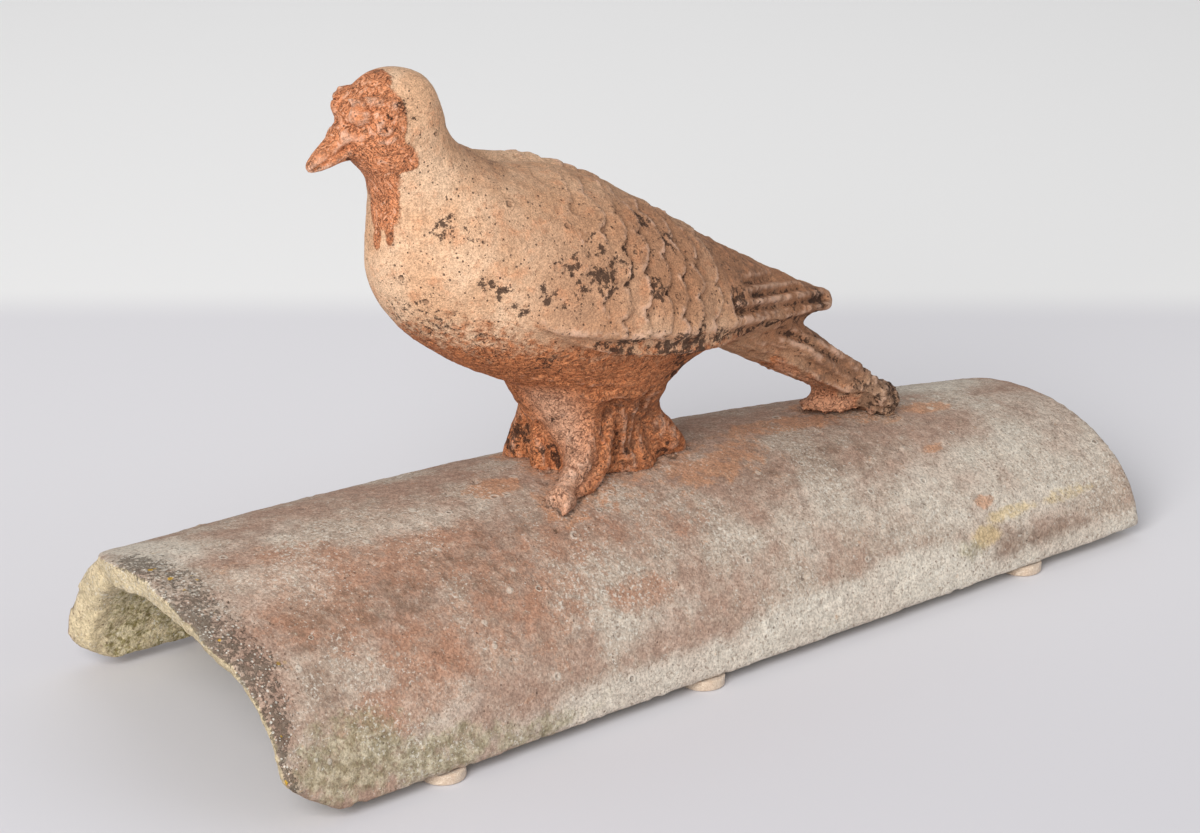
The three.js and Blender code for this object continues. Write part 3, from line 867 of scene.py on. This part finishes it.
# Lines of dirt, and of painted shadow under the wing's lower edge, in the crevice beside the leg and
# round the eye: points, width, strength.
DIRT_AND_SHADOW_LINES = [
    # Painted shadow under the wing's lower edge, in two runs.
    ([(-62, -51, 139), (-48, -54, 138), (-36, -54, 134), (-19, -53, 131), (3, -46, 129)], 8, 1.0),
    ([(3, -46, 129), (37, -33, 123), (66, -18, 117), (80, -10, 113)], 5.5, 0.9),
    ([(-78, -30, 130), (-71, -36, 131)], 7, 0.85),
    ([(-25, -19.5, 79), (-18.5, -21, 76), (-8, -17.5, 73), (-1, -14.5, 70.5)], 4.5, 0.95),
    # Painted shadow in the deep crevice beside the leg.
    ([(-40, -26, 90), (-48, -30, 81), (-57, -32, 75)], 5, 0.85),
    ([(-54, 15, 77), (-55, 22, 78)], 9, 0.95),
    ([(-57, -2, 82), (-54, -8, 79)], 5.5, 1.0),
    ([(-56, -13, 98), (-52, -12, 95)], 3.5, 0.9),
    ([(-50, -18, 93), (-42, -23, 92), (-34, -24, 94)], 4.5, 0.6),
    ([(-30, -21, 92), (-29, -19, 82)], 2.6, 0.7),
    ([(-24, -21, 92), (-24, -20, 80)], 2.6, 0.7),
    (TAIL_UPPER, 4.5, 0.62),
    (TAIL_LOWER, 4, 0.6),
    (TAIL_TOP, 4, 0.6),
    ([(106, -15, 74), (122, -15, 65)], 9, 0.75),
    # Painted shade round the lower edge of the eye.
    ([(-149, -4, 236), (-148, -4.5, 233), (-144, -9, 231.5), (-139.5, -12.5, 234)], 1.7, 0.75),
    ([(29, -34.5, 138), (52, -24, 133), (72, -14, 128)], 4, 0.34),
    ([(22, -40, 135), (52, -27.7, 127.4), (72, -18, 122.5), (91, -9.7, 118)], 4, 0.38),
    ([(27, -32, 144), (52, -19, 137.5)], 4.5, 0.34),
    ([(12, -41, 150), (14, -44, 141)], 4, 0.6),
    ([(-147, -6, 245), (-142, -9, 244.5)], 2, 0.8),
    ([(-139, -12, 243), (-132, -14, 241), (-127, -15, 238)], 4, 0.62),
    ([(-136, -15, 232.5), (-135.5, -15, 232)], 2.6, 0.9),
    ([(-133, -15, 237), (-130.5, -15.5, 233), (-132, -15, 229)], 2.2, 0.6),
    ([(-148, -5, 224.5), (-147.5, -6.5, 222.5)], 2.2, 1.0),
    ([(-153, -4.6, 220), (-147, -5, 218.5), (-141, -5, 217.5)], 2, 0.7),
    ([(-147, -3.5, 232.5), (-145.5, -6, 232)], 2.2, 0.95),
    ([(-126, -16, 222), (-128, -15, 212), (-131, -12, 204)], 3, 0.6),
]
SOOT_SPOTS = [
    (60, 0, 114, 26, 0.42),
    (90, -4, 96, 24, 0.6),
    (106, -2, 84, 18, 0.7),
    (122, -4, 70, 20, 0.85),
    (30, 0, 128, 20, 0.5),
    (40, -30, 142, 26, 0.45),
    (80, -8, 121, 18, 0.5),
    (-25, -12, 190, 36, 0.3),
    (-20, 0, 92, 42, 0.55),
    (-30, -10, 118, 30, 0.3),
    (-85, 0, 210, 16, 0.4),
    (20, -20, 160, 30, 0.4),
]
# Where the face was smoothed with a finger.
SMOOTH_SPOTS = [
    (-144.5, -9.5, 238, 4.5, 1),
    (-151, -4, 224.5, 4.5, 0.9),
    (-156, -2.5, 221, 5, 0.9),
    (-139, -10.5, 244, 3.5, 0.7),
    (-145, -8, 227.5, 3.5, 0.8),
    (-148, -4, 240, 4, 0.8),
]
TAN_SPOTS = [
    (-60, -30, 175, 30, 0.6),
    (-20, -35, 165, 42, 0.85),
    (30, -25, 145, 40, 0.95),
    (70, -10, 125, 40, 1.0),
    (96, -8, 92, 30, 0.9),
    (124, -4, 70, 20, 0.6),
    (-88, -8, 208, 22, 0.45),
    (-60, -20, 192, 34, 0.4),
    (-60, -46, 158, 34, 0.7),
    (-86, -24, 186, 20, 0.4),
    (-60, 30, 175, 30, 0.6),
    (-20, 35, 165, 42, 0.85),
    (30, 25, 145, 40, 0.95),
]


def covert_feathers(places):
    """Rows of round-tipped feathers that overlap: their heights, and 1 in the groove behind each tip,
    which the material paints as shade.
    """
    x, y, z = places.T
    cosine, sine = math.cos(WING_SLOPE), math.sin(WING_SLOPE)
    along = x * cosine + z * sine + 3.0 * clouds(places, WANDER, 2, 9)
    across = z * cosine - x * sine + 4.0 * clouds(places, WANDER, 2, 10)
    rise = np.full(len(places), -1.0)
    first = np.ceil((along - ROUND_TIP) / ROW)
    for row in (first, first + 1, first + 2):
        shift = 0.5 * (row % 2)
        off_centre = across - (np.round(across / COVERT - shift) + shift) * COVERT
        from_tip = np.sqrt(np.maximum(ROUND_TIP**2 - off_centre**2, 0)) - (along - row * ROW)
        here = np.clip(1 - from_tip / (1.2 * ROW), 0, 1)
        rise = np.where((rise < 0) & (from_tip > 0), here, rise)
    rise = np.maximum(rise, 0)
    coverts = ease(COVERTS_FROM, COVERTS_FROM + 45, x) * (1 - ease(COVERTS_TO, COVERTS_TO + 6, x))
    coverts *= 0.75 + 0.5 * clouds(places, 18, 2, 14)
    return coverts * (rise - 0.5), coverts * (1 - ease(0.05, 0.3, rise))


# Rings round a point on the face: x, y, z, radius, height.
FACE_RINGS = [
    (-136, -14.8, 232.4, 4.2, -0.8),
    (-136, -14.8, 232.4, 5.8, 0.5),
    (-144.5, -9.5, 237.6, 5.6, -0.9),
]
FAR_BROW = [(-147, 4, 247, 7, 1)]  # where the right brow's lump is smoothed
# Lines that raise or cut the clay: points, width, height.
FACE_MARKS = [
    ([(-149, -4, 242), (-144, -8, 243), (-138, -11, 243), (-131, -14, 240)], 3.4, 1.1),
    ([(-147, -7, 240.5), (-140, -11, 240), (-134, -13, 238)], 1.8, -1.0),
    ([(-145, -9, 237.6), (-143.5, -10, 237.6)], 5.2, 1.5),
    ([(-147, -3.5, 232.5), (-145.5, -6, 232)], 2.6, -1.4),
    ([(-148, -5, 229.5), (-145, -7.5, 228)], 4.2, 1.0),
    ([(-160, -3, 216.8), (-154, -4.6, 220.4), (-148, -6.3, 224.4)], 1.9, -1.5),
    ([(-148.5, -6, 224), (-146, -7.5, 225.5)], 2.8, -1.6),
    ([(-136, -14.8, 232.5), (-135.8, -14.8, 232.4)], 6.5, 1.1),
    ([(-136, -14.8, 232.5), (-135.8, -14.8, 232.4)], 1.9, -1.6),
    ([(-129, -15, 240), (-126, -15, 236), (-125, -16, 231)], 2.4, -0.8),
    ([(-124, -17, 222), (-128, -16, 214.5), (-129.5, -13, 208)], 1.8, -0.7),
]
WING_EDGE = [(-90, -37, 152), (-81, -45, 149), (-60, -52.4, 144.2), (-31, -55, 139.7), (-7, -51, 136.4)]
WING_EDGE += [(3, -48.5, 134.5), (37.5, -35, 127.6), (74, -18.5, 119.5), (90, -9, 115)]
UNDER_WING = [(x, y + 1.5, z - 5.5) for x, y, z in WING_EDGE[1:]]
WING_MARKS = [
    (WING_EDGE, 5, 1.0),
    (UNDER_WING, 6, -2.4),
    ([(-102, -33, 170), (-95, -38, 158), (-84, -43, 148)], 5, -1.3),
    ([(29, -34.5, 138.2), (52, -24, 133), (72, -14, 128)], 2.6, -2.3),
    ([(12, -44, 137), (52, -27.7, 127.4), (72, -18, 122.5), (91, -9.7, 118)], 2.6, -2.5),
    ([(27, -32.5, 143.6), (40, -26, 140.5), (52, -19, 137.5)], 3.0, -2.0),
    ([(22, -42, 132.5), (52, -28, 124.5), (72, -19, 120)], 1.9, -1.5),
    ([(22, -37, 142), (50, -24, 135.5), (76, -11, 127)], 3.0, 0.9),
    ([(16, -42, 139.5), (52, -26, 130.5), (84, -11, 121)], 2.8, 1.0),
    ([(12, -40, 152), (14, -43, 144), (13, -45, 137)], 3.2, -1.2),
]
STUMP_MARKS = [
    ([(-35, -24, 99), (-38, -26, 90), (-42, -29, 83), (-48, -32, 77), (-55, -34, 73)], 8.5, -4.4),
    ([(-57, -3, 91), (-54, -7, 83), (-53, -8.5, 76)], 4.5, -3.0),
    ([(-57, -12, 101), (-54, -15, 92), (-56, -23, 84), (-61, -27, 78.5), (-67, -30, 74)], 7, 1.5),
    ([(-33, -26, 103), (-35, -24, 96), (-38, -25, 92)], 2.6, -1.3),
    ([(-30.5, -23, 97), (-28.5, -20, 88.7), (-29.5, -19, 80)], 3, -1.8),
    ([(-28, -26, 101), (-23.5, -21, 92.5), (-23.4, -20, 79)], 3, -1.9),
    ([(-25, -23, 94), (-25.5, -20, 84)], 3, 1.2),
    ([(-17.5, -25, 103), (-17, -19, 90), (-19, -20, 79)], 4, -2.2),
    ([(-9, -20, 100), (-5, -16, 88), (0, -17, 77)], 9, 1.8),
    ([(-53, -9, 74.5), (-56, -20.5, 80.5), (-56.2, -28, 80.2), (-56, -30.5, 78.4)], 1.3, -1.1),
    ([(-75, -28, 125), (-50, -27, 111), (-25, -29, 110)], 3.0, -0.8),
    ([(-70, -24, 118), (-45, -24, 106), (-22, -27, 106)], 2.6, 0.7),
]
TAIL_MARKS = [
    (TAIL_UPPER, 2.6, -1.5),
    (TAIL_LOWER, 2.6, -1.2),
    ([(60, -17.5, 108), (78, -16, 99), (94, -15, 86)], 2.6, 0.9),
    (TAIL_TOP, 2.6, -1.2),
]
FAR_WING_RIDGE = [
    ([(-90, 12, 207), (-74, 16, 204), (-50, 18, 199), (-28, 17, 192), (-8, 15, 184)], 10, 4.4),
    ([(-90, 3, 210), (-70, 6, 206), (-45, 7, 201), (-20, 6, 193)], 4, -0.8),
]


def brushed_clay(places):
    """Folds brushed down the pedestal and along the belly."""
    x, y, z = places.T
    ahead = 1 - ease(20, 30, x)
    folds = clouds(places, (4.2, 4.2, 26), 3, 3) * (1 - ease(96, 112, z)) * ahead
    belly = clouds(places, (24, 5, 3.2), 3, 4) * (1 - ease(118, 132, z)) * ease(92, 104, z)
    return folds + 0.6 * belly * (1 - ease(15, 30, x))


def tail_clay(places, bedding):
    """Ridges along the tail, the knobs at its end, and the smooth clay that it is bedded in."""
    x, y, z = places.T
    turned = np.stack([x * TAIL_ALONG - z * TAIL_DOWN, y, x * TAIL_DOWN + z * TAIL_ALONG], 1)
    tail = ease(24, 50, x) * (1 - ease(0, 6, z - (137 - 0.55 * (x - 20))))
    ridges = tail * 1.5 * clouds(turned, (34, 3.4, 6), 3, 5)
    knobs = 2.2 * clouds(places, 8, 3, 6) + 1.4 * clouds(places, 4, 3, 8)
    tip = ease(100, 118, x) * (1 - ease(84, 95, z))
    return (1 - bedding) * (ridges + tip * knobs) - 2.6 * bedding


def shape_pigeon(piece, look):
    """The modelled clay of the bird: feathers, brushed folds, hollows and pits."""
    net = Net(piece)
    x, y, z = places_of(piece).T
    head = ease(198, 208, z) * (1 - ease(-118, -108, x))
    foot = (1 - ease(80, 86, z)) * ease(24, 28, -y)
    smooth_facets(piece, net, 110, 0.3, 0.7, 0.93 * np.maximum(head, foot))
    places = places_of(piece)
    normals = normals_of(piece)
    x, y, z = places.T
    on_wing = ease(0.15, 0.45, np.abs(normals[:, 1]) + normals[:, 2] * 0.4)
    on_wing *= ease(-100, -80, x) * ease(5, 12, np.abs(y)) * ease(0, 5, z - (144 - 0.24 * (x + 77)))
    coverts, groove_shade = covert_feathers(places)
    bedding = ease(84, 90, x) * (1 - ease(112, 118, x)) * (1 - ease(69, 75, z))
    heights = coverts * net.relax(on_wing, 3) * look.feather_height / MM
    uneven = 0.5 * clouds(places, 22, 2, 1) + 0.25 * clouds(places, 5, 3, 2)
    heights += (1 - 0.6 * head) * uneven + 0.5 * on_wing * clouds(places, 7, 3, 12)
    heights += look.fold_depth / MM * brushed_clay(places) + tail_clay(places, bedding)
    put_places(piece, places + normals * heights[:, None])
    marks = FACE_MARKS + WING_MARKS + STUMP_MARKS + TAIL_MARKS
    heights = tool_marks(places, marks + other_side(marks) + FAR_WING_RIDGE)
    for ring_x, ring_y, ring_z, radius, height in FACE_RINGS:
        gap = np.linalg.norm(on_left(places) - (ring_x, ring_y, ring_z), axis=1)
        heights += height * (1 - ease(0.3, 1.3, np.abs(gap - radius)))
    pits = craters(piece, z > PITS_ABOVE, look.pit_depth / MM, **BIRD_PITS)
    push_out(piece, heights + pits * (1 - 0.7 * np.maximum(head, bedding)))
    put_places(piece, net.relax(places_of(piece), 1, 0.25))
    places = places_of(piece)
    put_places(piece, net.relax(places, 14, 0.5 * dabs(places, FAR_BROW)))
    return net, groove_shade * on_wing


SEAT_DEPTH = 1.3  # how far the lowest clay is pressed down


def seat_pigeon(piece, tile):
    """Presses the bird's lowest clay onto the tile, and returns how far each vertex is from it."""
    tree = BVHTree.FromObject(tile, bpy.context.evaluated_depsgraph_get())
    places = places_of(piece)
    gaps = np.full(len(places), FAR_OFF)
    for index in np.flatnonzero(places[:, 2] < 90):
        spot, normal, _, _ = tree.find_nearest(piece.data.vertices[index].co)
        above = (piece.data.vertices[index].co - spot).dot(normal) / MM
        gaps[index] = above
        places[index] -= np.array(normal) * SEAT_DEPTH * float(1 - ease(0.5, 3.5, above))
    put_places(piece, places)
    return gaps


def paint_pigeon(piece, net, gaps, groove_shade):
    """The values that the bird's material reads."""
    places = places_of(piece)
    x, y, z = places.T
    depth = hollows(piece, net, 8)
    heights, edge = np.array(FACE_EDGE).T
    face = ease(-1.5, 1.5, np.interp(z, heights, edge) - x) * ease(199, 203, z)
    for line, width in THROAT_RUNS:
        face = np.maximum(face, 1 - ease(0.7 * width, 1.1 * width, gap_to_line(places, line)))
    belly_line = 141 - 0.165 * (x + 60)
    belly = (1 - ease(-22, 12, z - belly_line)) * (1 - ease(15, 45, x))
    lower_breast = 0.55 * (1 - ease(140, 168, z)) * (1 - ease(-95, -70, x))
    under_tail = 0.85 * ease(50, 62, x) * (1 - ease(2, 8, z - (95 - 0.675 * (x - 60))))
    bedding = ease(88, 92, x) * (1 - ease(108, 114, x)) * (1 - ease(67, 73, z))
    store(piece, "bare", np.max([face, belly, lower_breast, under_tail, bedding], 0))
    leg = [(-56, -11, 108), (-55, -16, 92), (-57, -24, 83), (-70, -32, 72)]
    washed = np.maximum(0.75 * stroke(places, leg, 17), 0.4 * under_tail * ease(58, 66, x))
    store(piece, "washed", np.maximum(washed, 0.5 * bedding))
    # Soot, and painted shade behind each feather tip.
    store(piece, "soot_and_shade", np.maximum(dabs(places, SOOT_SPOTS), 0.75 * groove_shade) * (1 - bedding))
    store(piece, "tan", dabs(places, TAN_SPOTS))
    joint = 0.9 * (1 - ease(0.3, 3.0, gaps))
    wandered = places + 4.5 * np.stack([clouds(places, 7, 3, seed) for seed in (31, 32, 33)], 1)
    dirt_and_shade = np.maximum(dabs(wandered, DIRT_SPOTS), joint)
    broken = 0.9 + 0.45 * clouds(places, 9, 2, 15)
    for line, width, strength in DIRT_AND_SHADOW_LINES:
        both_sides = line[0][1] < 0
        near = stroke(on_left(wandered) if both_sides else wandered, line, width)
        dirt_and_shade = np.maximum(dirt_and_shade, strength * near * broken)
    # Dirt, with painted shadow under the wing and in the crevices, and painted shade behind the feather
    # tips.
    store(piece, "dirt_and_shade", 0.12 + np.maximum(dirt_and_shade, groove_shade * (0.3 + 0.8 * clouds(places, 12, 2, 13))))
    # Painted shade: how deep each vertex lies in a hollow, which the material darkens.
    store(piece, "hollow", ease(0.12, 0.55, depth))
    store(piece, "face", face)
    store(piece, "smooth", dabs(on_left(places), SMOOTH_SPOTS))
    # Convex ridges, which the material paints paler as wear and as a painted highlight.
    store(piece, "ridge", ease(0.1, 0.5, -depth))


# Settings


class RidgeTileSettings(bpy.types.PropertyGroup):
    """Sizes and colours of the tile."""

    voxel: length("Voxel", "Grain of the rebuilt surface", 1.75)
    chips: length("Chips", "How deep the edges are nibbled", 1.5)
    pit_depth: length("Pit depth", "Depth of the largest pits", 0.9)
    old_clay: colour("Old clay", "Pinkish clay of the flanks", (170, 141, 124))
    grey_clay: colour("Grey clay", "Greyer clay between the patches", (182, 165, 149))
    rust: colour("Rust", "Bare pinkish-brown clay", (162, 123, 101))
    warm_rust: colour("Warm rust", "Bare orange-brown clay", (174, 120, 90))
    brown: colour("Brown", "Dark brown weathering", (122, 97, 80))
    lime: colour("Lime", "Pale lime bloom", (222, 215, 201))
    dark_moss: colour("Dark moss", "Moss in the shade", (138, 128, 98))
    pale_moss: colour("Pale moss", "Dry moss", (184, 174, 148))
    # The arch's inside, in colours brightened as painted light.
    inner_moss: colour("Inner moss", "Moss inside the arch", (140, 128, 84))
    inner_clay: colour("Inner clay", "Ochre clay inside the arch", (214, 200, 166))
    rim: colour("Rim", "Broken clay of the ends", (208, 190, 156))
    ochre: colour("Ochre", "Yellow stain", (206, 178, 116))
    smear: colour("Smear", "Fresher orange clay", (198, 142, 104))
    lichen: colour("Lichen", "Dark lichen crust", (86, 76, 64))
    white_lichen: colour("White lichen", "White spots of lichen", (226, 221, 210))
    yellow_lichen: colour("Yellow lichen", "Yellow spots of lichen", (218, 172, 52))
    # Also the colour of the painted shade in the tile's hollows.
    dirt_and_shade: colour("Dirt", "Dirt in the pits", (78, 60, 48))


class PigeonSettings(bpy.types.PropertyGroup):
    """Sizes and colours of the bird."""

    voxel: length("Voxel", "Grain of the rebuilt surface", 1.12)
    feather_height: length("Feather height", "Step at a feather's edge", 3.2)
    fold_depth: length("Fold depth", "Depth of the brushed folds", 0.8)
    pit_depth: length("Pit depth", "Depth of the largest pits", 0.6)
    pale_clay: colour("Pale clay", "Palest buff clay", (226, 189, 156))
    buff_clay: colour("Buff clay", "Buff clay", (214, 170, 134))
    tan_clay: colour("Tan clay", "Browner clay of the wings", (164, 116, 84))
    warm_clay: colour("Warm clay", "Orange that shows through", (204, 140, 100))
    bare_clay: colour("Bare clay", "Clean orange clay", (214, 140, 93))
    face_clay: colour("Face clay", "Clean clay of the face", (224, 150, 106))
    deep_face: colour("Deep face", "Darker brush marks on the face", (200, 124, 82))
    deep_clay: colour("Deep clay", "Darker brush marks", (180, 108, 67))
    curl: colour("Curl", "Dark curled marks in the bare clay", (120, 64, 42))
    # Also the colour of the painted highlight on ridges.
    light_clay: colour("Light clay", "Palest touches on the face", (244, 204, 178))
    speck: colour("Speck", "Brown specks", (134, 96, 72))
    washed_clay: colour("Washed clay", "Pinkish clay of the foot", (214, 170, 142))
    # Also the colour of the painted shade behind the feather tips.
    soot_and_shade: colour("Soot", "Sooty brown", (104, 78, 62))
    # Also the colour of the painted shade in the hollows, under the wing and behind the feather tips.
    dirt_and_shade: colour("Dirt", "Black dirt", (54, 38, 31))


class PadSettings(bpy.types.PropertyGroup):
    """Sizes and colours of the felt pads."""

    voxel: length("Voxel", "Grain of the rebuilt surface", 0.45)
    soft_edge: length("Soft edge", "Rounding of a pad's edge", 0.7)
    felt: colour("Felt", "Felt", (224, 207, 188))
    felt_shadow: colour("Felt shadow", "Between the fibres", (188, 166, 144))
    dust: colour("Dust", "Clay dust on the felt", (206, 172, 148))


class StudioSettings(bpy.types.PropertyGroup):
    """The camera, lights and floor."""

    lens: bpy.props.FloatProperty(name="Lens", description="Focal length", unit="CAMERA", default=105)
    azimuth: bpy.props.FloatProperty(
        name="Azimuth", description="Camera's turn", subtype="ANGLE", default=math.radians(-37.454)
    )
    elevation: bpy.props.FloatProperty(
        name="Elevation", description="Camera's rise", subtype="ANGLE", default=math.radians(20.407)
    )
    key: power("Key light", "Main light, from the left", 92)
    fill: power("Fill light", "Second light, from the right", 14)
    behind: power("Back light", "Light over the ground behind the object", 5)
    sky: bpy.props.FloatProperty(name="Sky", description="Strength of the light all round", default=0.37)
    floor: colour("Floor", "Pale floor", (226, 225, 229))
    # Painted shade on the floor in front of the object.
    near_floor: colour("Near floor", "Floor in front of the object", (214, 213, 218))
    horizon: length("Horizon", "How far behind the object the paler ground starts", 408)
    backdrop: colour("Backdrop", "Paler ground behind the object", (243, 243, 243))


# Operators


class RIDGETILE_OT_tile(bpy.types.Operator):
    """Models the weathered ridge tile"""

    bl_idname = "ridgetile.tile"
    bl_label = "Ridge tile"

    def execute(self, context):
        look = context.scene.ridge_tile
        piece = merged_copy("ridge_tile", "weathered_ridge_tile")
        apply_modifier(piece, "REMESH", mode="VOXEL", voxel_size=look.voxel)
        shape_tile(piece, look)
        finish_piece(piece, tile_material(look), "weathered_tile_clay", "ridge_tile")
        return {"FINISHED"}


class RIDGETILE_OT_pigeon(bpy.types.Operator):
    """Models the clay pigeon and marks the tile where it stands"""

    bl_idname = "ridgetile.pigeon"
    bl_label = "Pigeon"

    def execute(self, context):
        look = context.scene.ridge_pigeon
        tile = bpy.data.objects["weathered_ridge_tile"]
        piece = merged_copy("pigeon", "clay_pigeon")
        apply_modifier(piece, "REMESH", mode="VOXEL", voxel_size=look.voxel)
        net, groove_shade = shape_pigeon(piece, look)
        gaps = seat_pigeon(piece, tile)
        paint_pigeon(piece, net, gaps, groove_shade)
        finish_piece(piece, pigeon_material(look), "pigeon_terracotta", "pigeon")
        paint_tile(tile, Net(tile), piece)
        return {"FINISHED"}


class RIDGETILE_OT_pads(bpy.types.Operator):
    """Models one felt pad and copies it under the tile's long edges"""

    bl_idname = "ridgetile.pads"
    bl_label = "Felt pads"

    def execute(self, context):
        look = context.scene.ridge_pads
        material = felt_material(look)
        low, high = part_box(PADS[0])
        bpy.ops.object.select_all(action="DESELECT")
        thick = TILE_LOW.z  # a pad reaches from the floor to the tile
        bpy.ops.mesh.primitive_cylinder_add(
            vertices=64, radius=(high.x - low.x) / 2, depth=thick, location=(0, 0, thick / 2)
        )
        first = bpy.context.object
        bpy.ops.object.transform_apply(location=True)
        bpy.ops.object.mode_set(mode="EDIT")
        bpy.ops.mesh.select_all(action="SELECT")
        bpy.ops.mesh.bevel(offset=look.soft_edge, segments=4, affect="EDGES")
        bpy.ops.object.mode_set(mode="OBJECT")
        apply_modifier(first, "REMESH", mode="VOXEL", voxel_size=look.voxel)
        for number, node in enumerate(PADS):
            low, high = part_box(node)
            centre = (low + high) / 2
            piece = bpy.data.objects.new("soft_" + node, first.data.copy())
            bpy.context.scene.collection.objects.link(piece)
            shift = Vector((centre.x, centre.y, 0))
            piece.data.transform(Matrix.Translation(shift) @ Matrix.Rotation(number, 4, "Z"))
            places = places_of(piece)
            uneven = 0.3 * ease(0, 1.2, places[:, 2] - places[:, 2].min())
            push_out(piece, uneven * clouds(places, 3.5, 3, number) - 0.1)
            finish_piece(piece, material, "felt", node)
        bpy.data.objects.remove(first)
        return {"FINISHED"}


class RIDGETILE_OT_studio(bpy.types.Operator):
    """Sets up the floor, the lights and the camera"""

    bl_idname = "ridgetile.studio"
    bl_label = "Studio"

    def execute(self, context):
        look = context.scene.ridge_studio
        add_floor(look)
        add_lights(look)
        add_camera(look)
        context.scene.view_settings.view_transform = "Standard"
        return {"FINISHED"}


# Places of the camera and the lights, in millimetres from the middle.
CAMERA_PLACE = (-843.67, -1071.12, 589.06)
KEY_LIGHT = (-2200, -1350, 1500)
FILL_LIGHT = (1400, -2600, 1000)
BACK_LIGHT = (620, 1050, 1150)
LIGHT_AIM = (-10, 0, 90)
BACK_AIM = (620, 1050, 0)
WHITE, WARM_WHITE, COOL_WHITE, SKY_WHITE = (1, 1, 1), (1, 0.99, 0.97), (0.98, 0.99, 1), (0.985, 0.985, 1)
FLOOR_RADIUS = 7


def add_floor(look):
    """A wide pale floor, darker in front of the object as painted shade, and paler behind it."""
    bpy.ops.object.select_all(action="DESELECT")
    bpy.ops.mesh.primitive_circle_add(
        vertices=96, radius=FLOOR_RADIUS, fill_type="NGON", location=(0, 0, 0)
    )
    floor = bpy.context.object
    floor.name = "floor"
    material, t, shader, where = start_material("Studio floor")
    turned = t.node("ShaderNodeMapping", {"Vector": where, "Rotation": (0, 0, -look.azimuth)})
    behind = t.node("ShaderNodeSeparateXYZ", {0: turned.outputs[0]}).outputs["Y"]
    share = t.ease(behind, look.horizon - 0.03, look.horizon + 0.03)
    # Painted shade: the floor darker in front of the object.
    near = t.mix(t.ease(behind, -0.25, 0.2), look.near_floor, look.floor)
    t.feed(shader.inputs["Base Color"], t.mix(share, near, look.backdrop))
    shader.inputs["Roughness"].default_value = 0.9
    shader.inputs["Specular IOR Level"].default_value = 0.1
    floor.data.materials.append(material)


def add_area_light(name, place, aim, size, watts, tint):
    """A square soft light at a place, turned to its aim, both in millimetres from the middle."""
    light = bpy.data.lights.new(name, "AREA")
    light.size = size
    light.energy = watts
    light.color = tint
    holder = bpy.data.objects.new(name, light)
    holder.location = MIDDLE + Vector(place) * MM
    holder.rotation_euler = (Vector(place) - Vector(aim)).to_track_quat("Z", "Y").to_euler()
    bpy.context.scene.collection.objects.link(holder)


def add_lights(look):
    """Soft light from the left, weak ones from the right and behind, and an even sky."""
    add_area_light("key", KEY_LIGHT, LIGHT_AIM, 1.7, look.key, WARM_WHITE)
    add_area_light("behind", BACK_LIGHT, BACK_AIM, 1.7, look.behind, WHITE)
    add_area_light("fill", FILL_LIGHT, LIGHT_AIM, 2.0, look.fill, COOL_WHITE)
    world = bpy.data.worlds.new("Sky")
    world.use_nodes = True
    sky = world.node_tree.nodes["Background"].inputs
    sky["Color"].default_value = (*SKY_WHITE, 1)
    sky["Strength"].default_value = look.sky
    bpy.context.scene.world = world


def add_camera(look):
    """The camera, which looks down on the bird's left side."""
    lens = bpy.data.cameras.new("camera")
    lens.lens = look.lens
    camera = bpy.data.objects.new("camera", lens)
    camera.location = MIDDLE + Vector(CAMERA_PLACE) * MM
    camera.rotation_euler = (math.pi / 2 - look.elevation, 0, look.azimuth)
    bpy.context.scene.collection.objects.link(camera)
    bpy.context.scene.camera = camera


class RIDGETILE_PT_panel(bpy.types.Panel):
    """Lists the steps in the sidebar"""

    bl_idname = "RIDGETILE_PT_panel"
    bl_label = "Ridge tile"
    bl_space_type = "VIEW_3D"
    bl_region_type = "UI"
    bl_category = "Ridge tile"

    def draw(self, context):
        for step in STEPS:
            self.layout.operator(step.bl_idname)


SETTINGS = {
    "ridge_tile": RidgeTileSettings,
    "ridge_pigeon": PigeonSettings,
    "ridge_pads": PadSettings,
    "ridge_studio": StudioSettings,
}
STEPS = [RIDGETILE_OT_tile, RIDGETILE_OT_pigeon, RIDGETILE_OT_pads, RIDGETILE_OT_studio]


def register():
    for name, kind in SETTINGS.items():
        bpy.utils.register_class(kind)
        setattr(bpy.types.Scene, name, bpy.props.PointerProperty(type=kind))
    for kind in [*STEPS, RIDGETILE_PT_panel]:
        bpy.utils.register_class(kind)


def unregister():
    for kind in reversed([*STEPS, RIDGETILE_PT_panel]):
        bpy.utils.unregister_class(kind)
    for name, kind in SETTINGS.items():
        delattr(bpy.types.Scene, name)
        bpy.utils.unregister_class(kind)


def main():
    """Builds everything in order."""
    register()
    bpy.ops.ridgetile.tile()
    bpy.ops.ridgetile.pigeon()
    bpy.ops.ridgetile.pads()
    bpy.ops.ridgetile.studio()


if __name__ == "__main__":
    main()
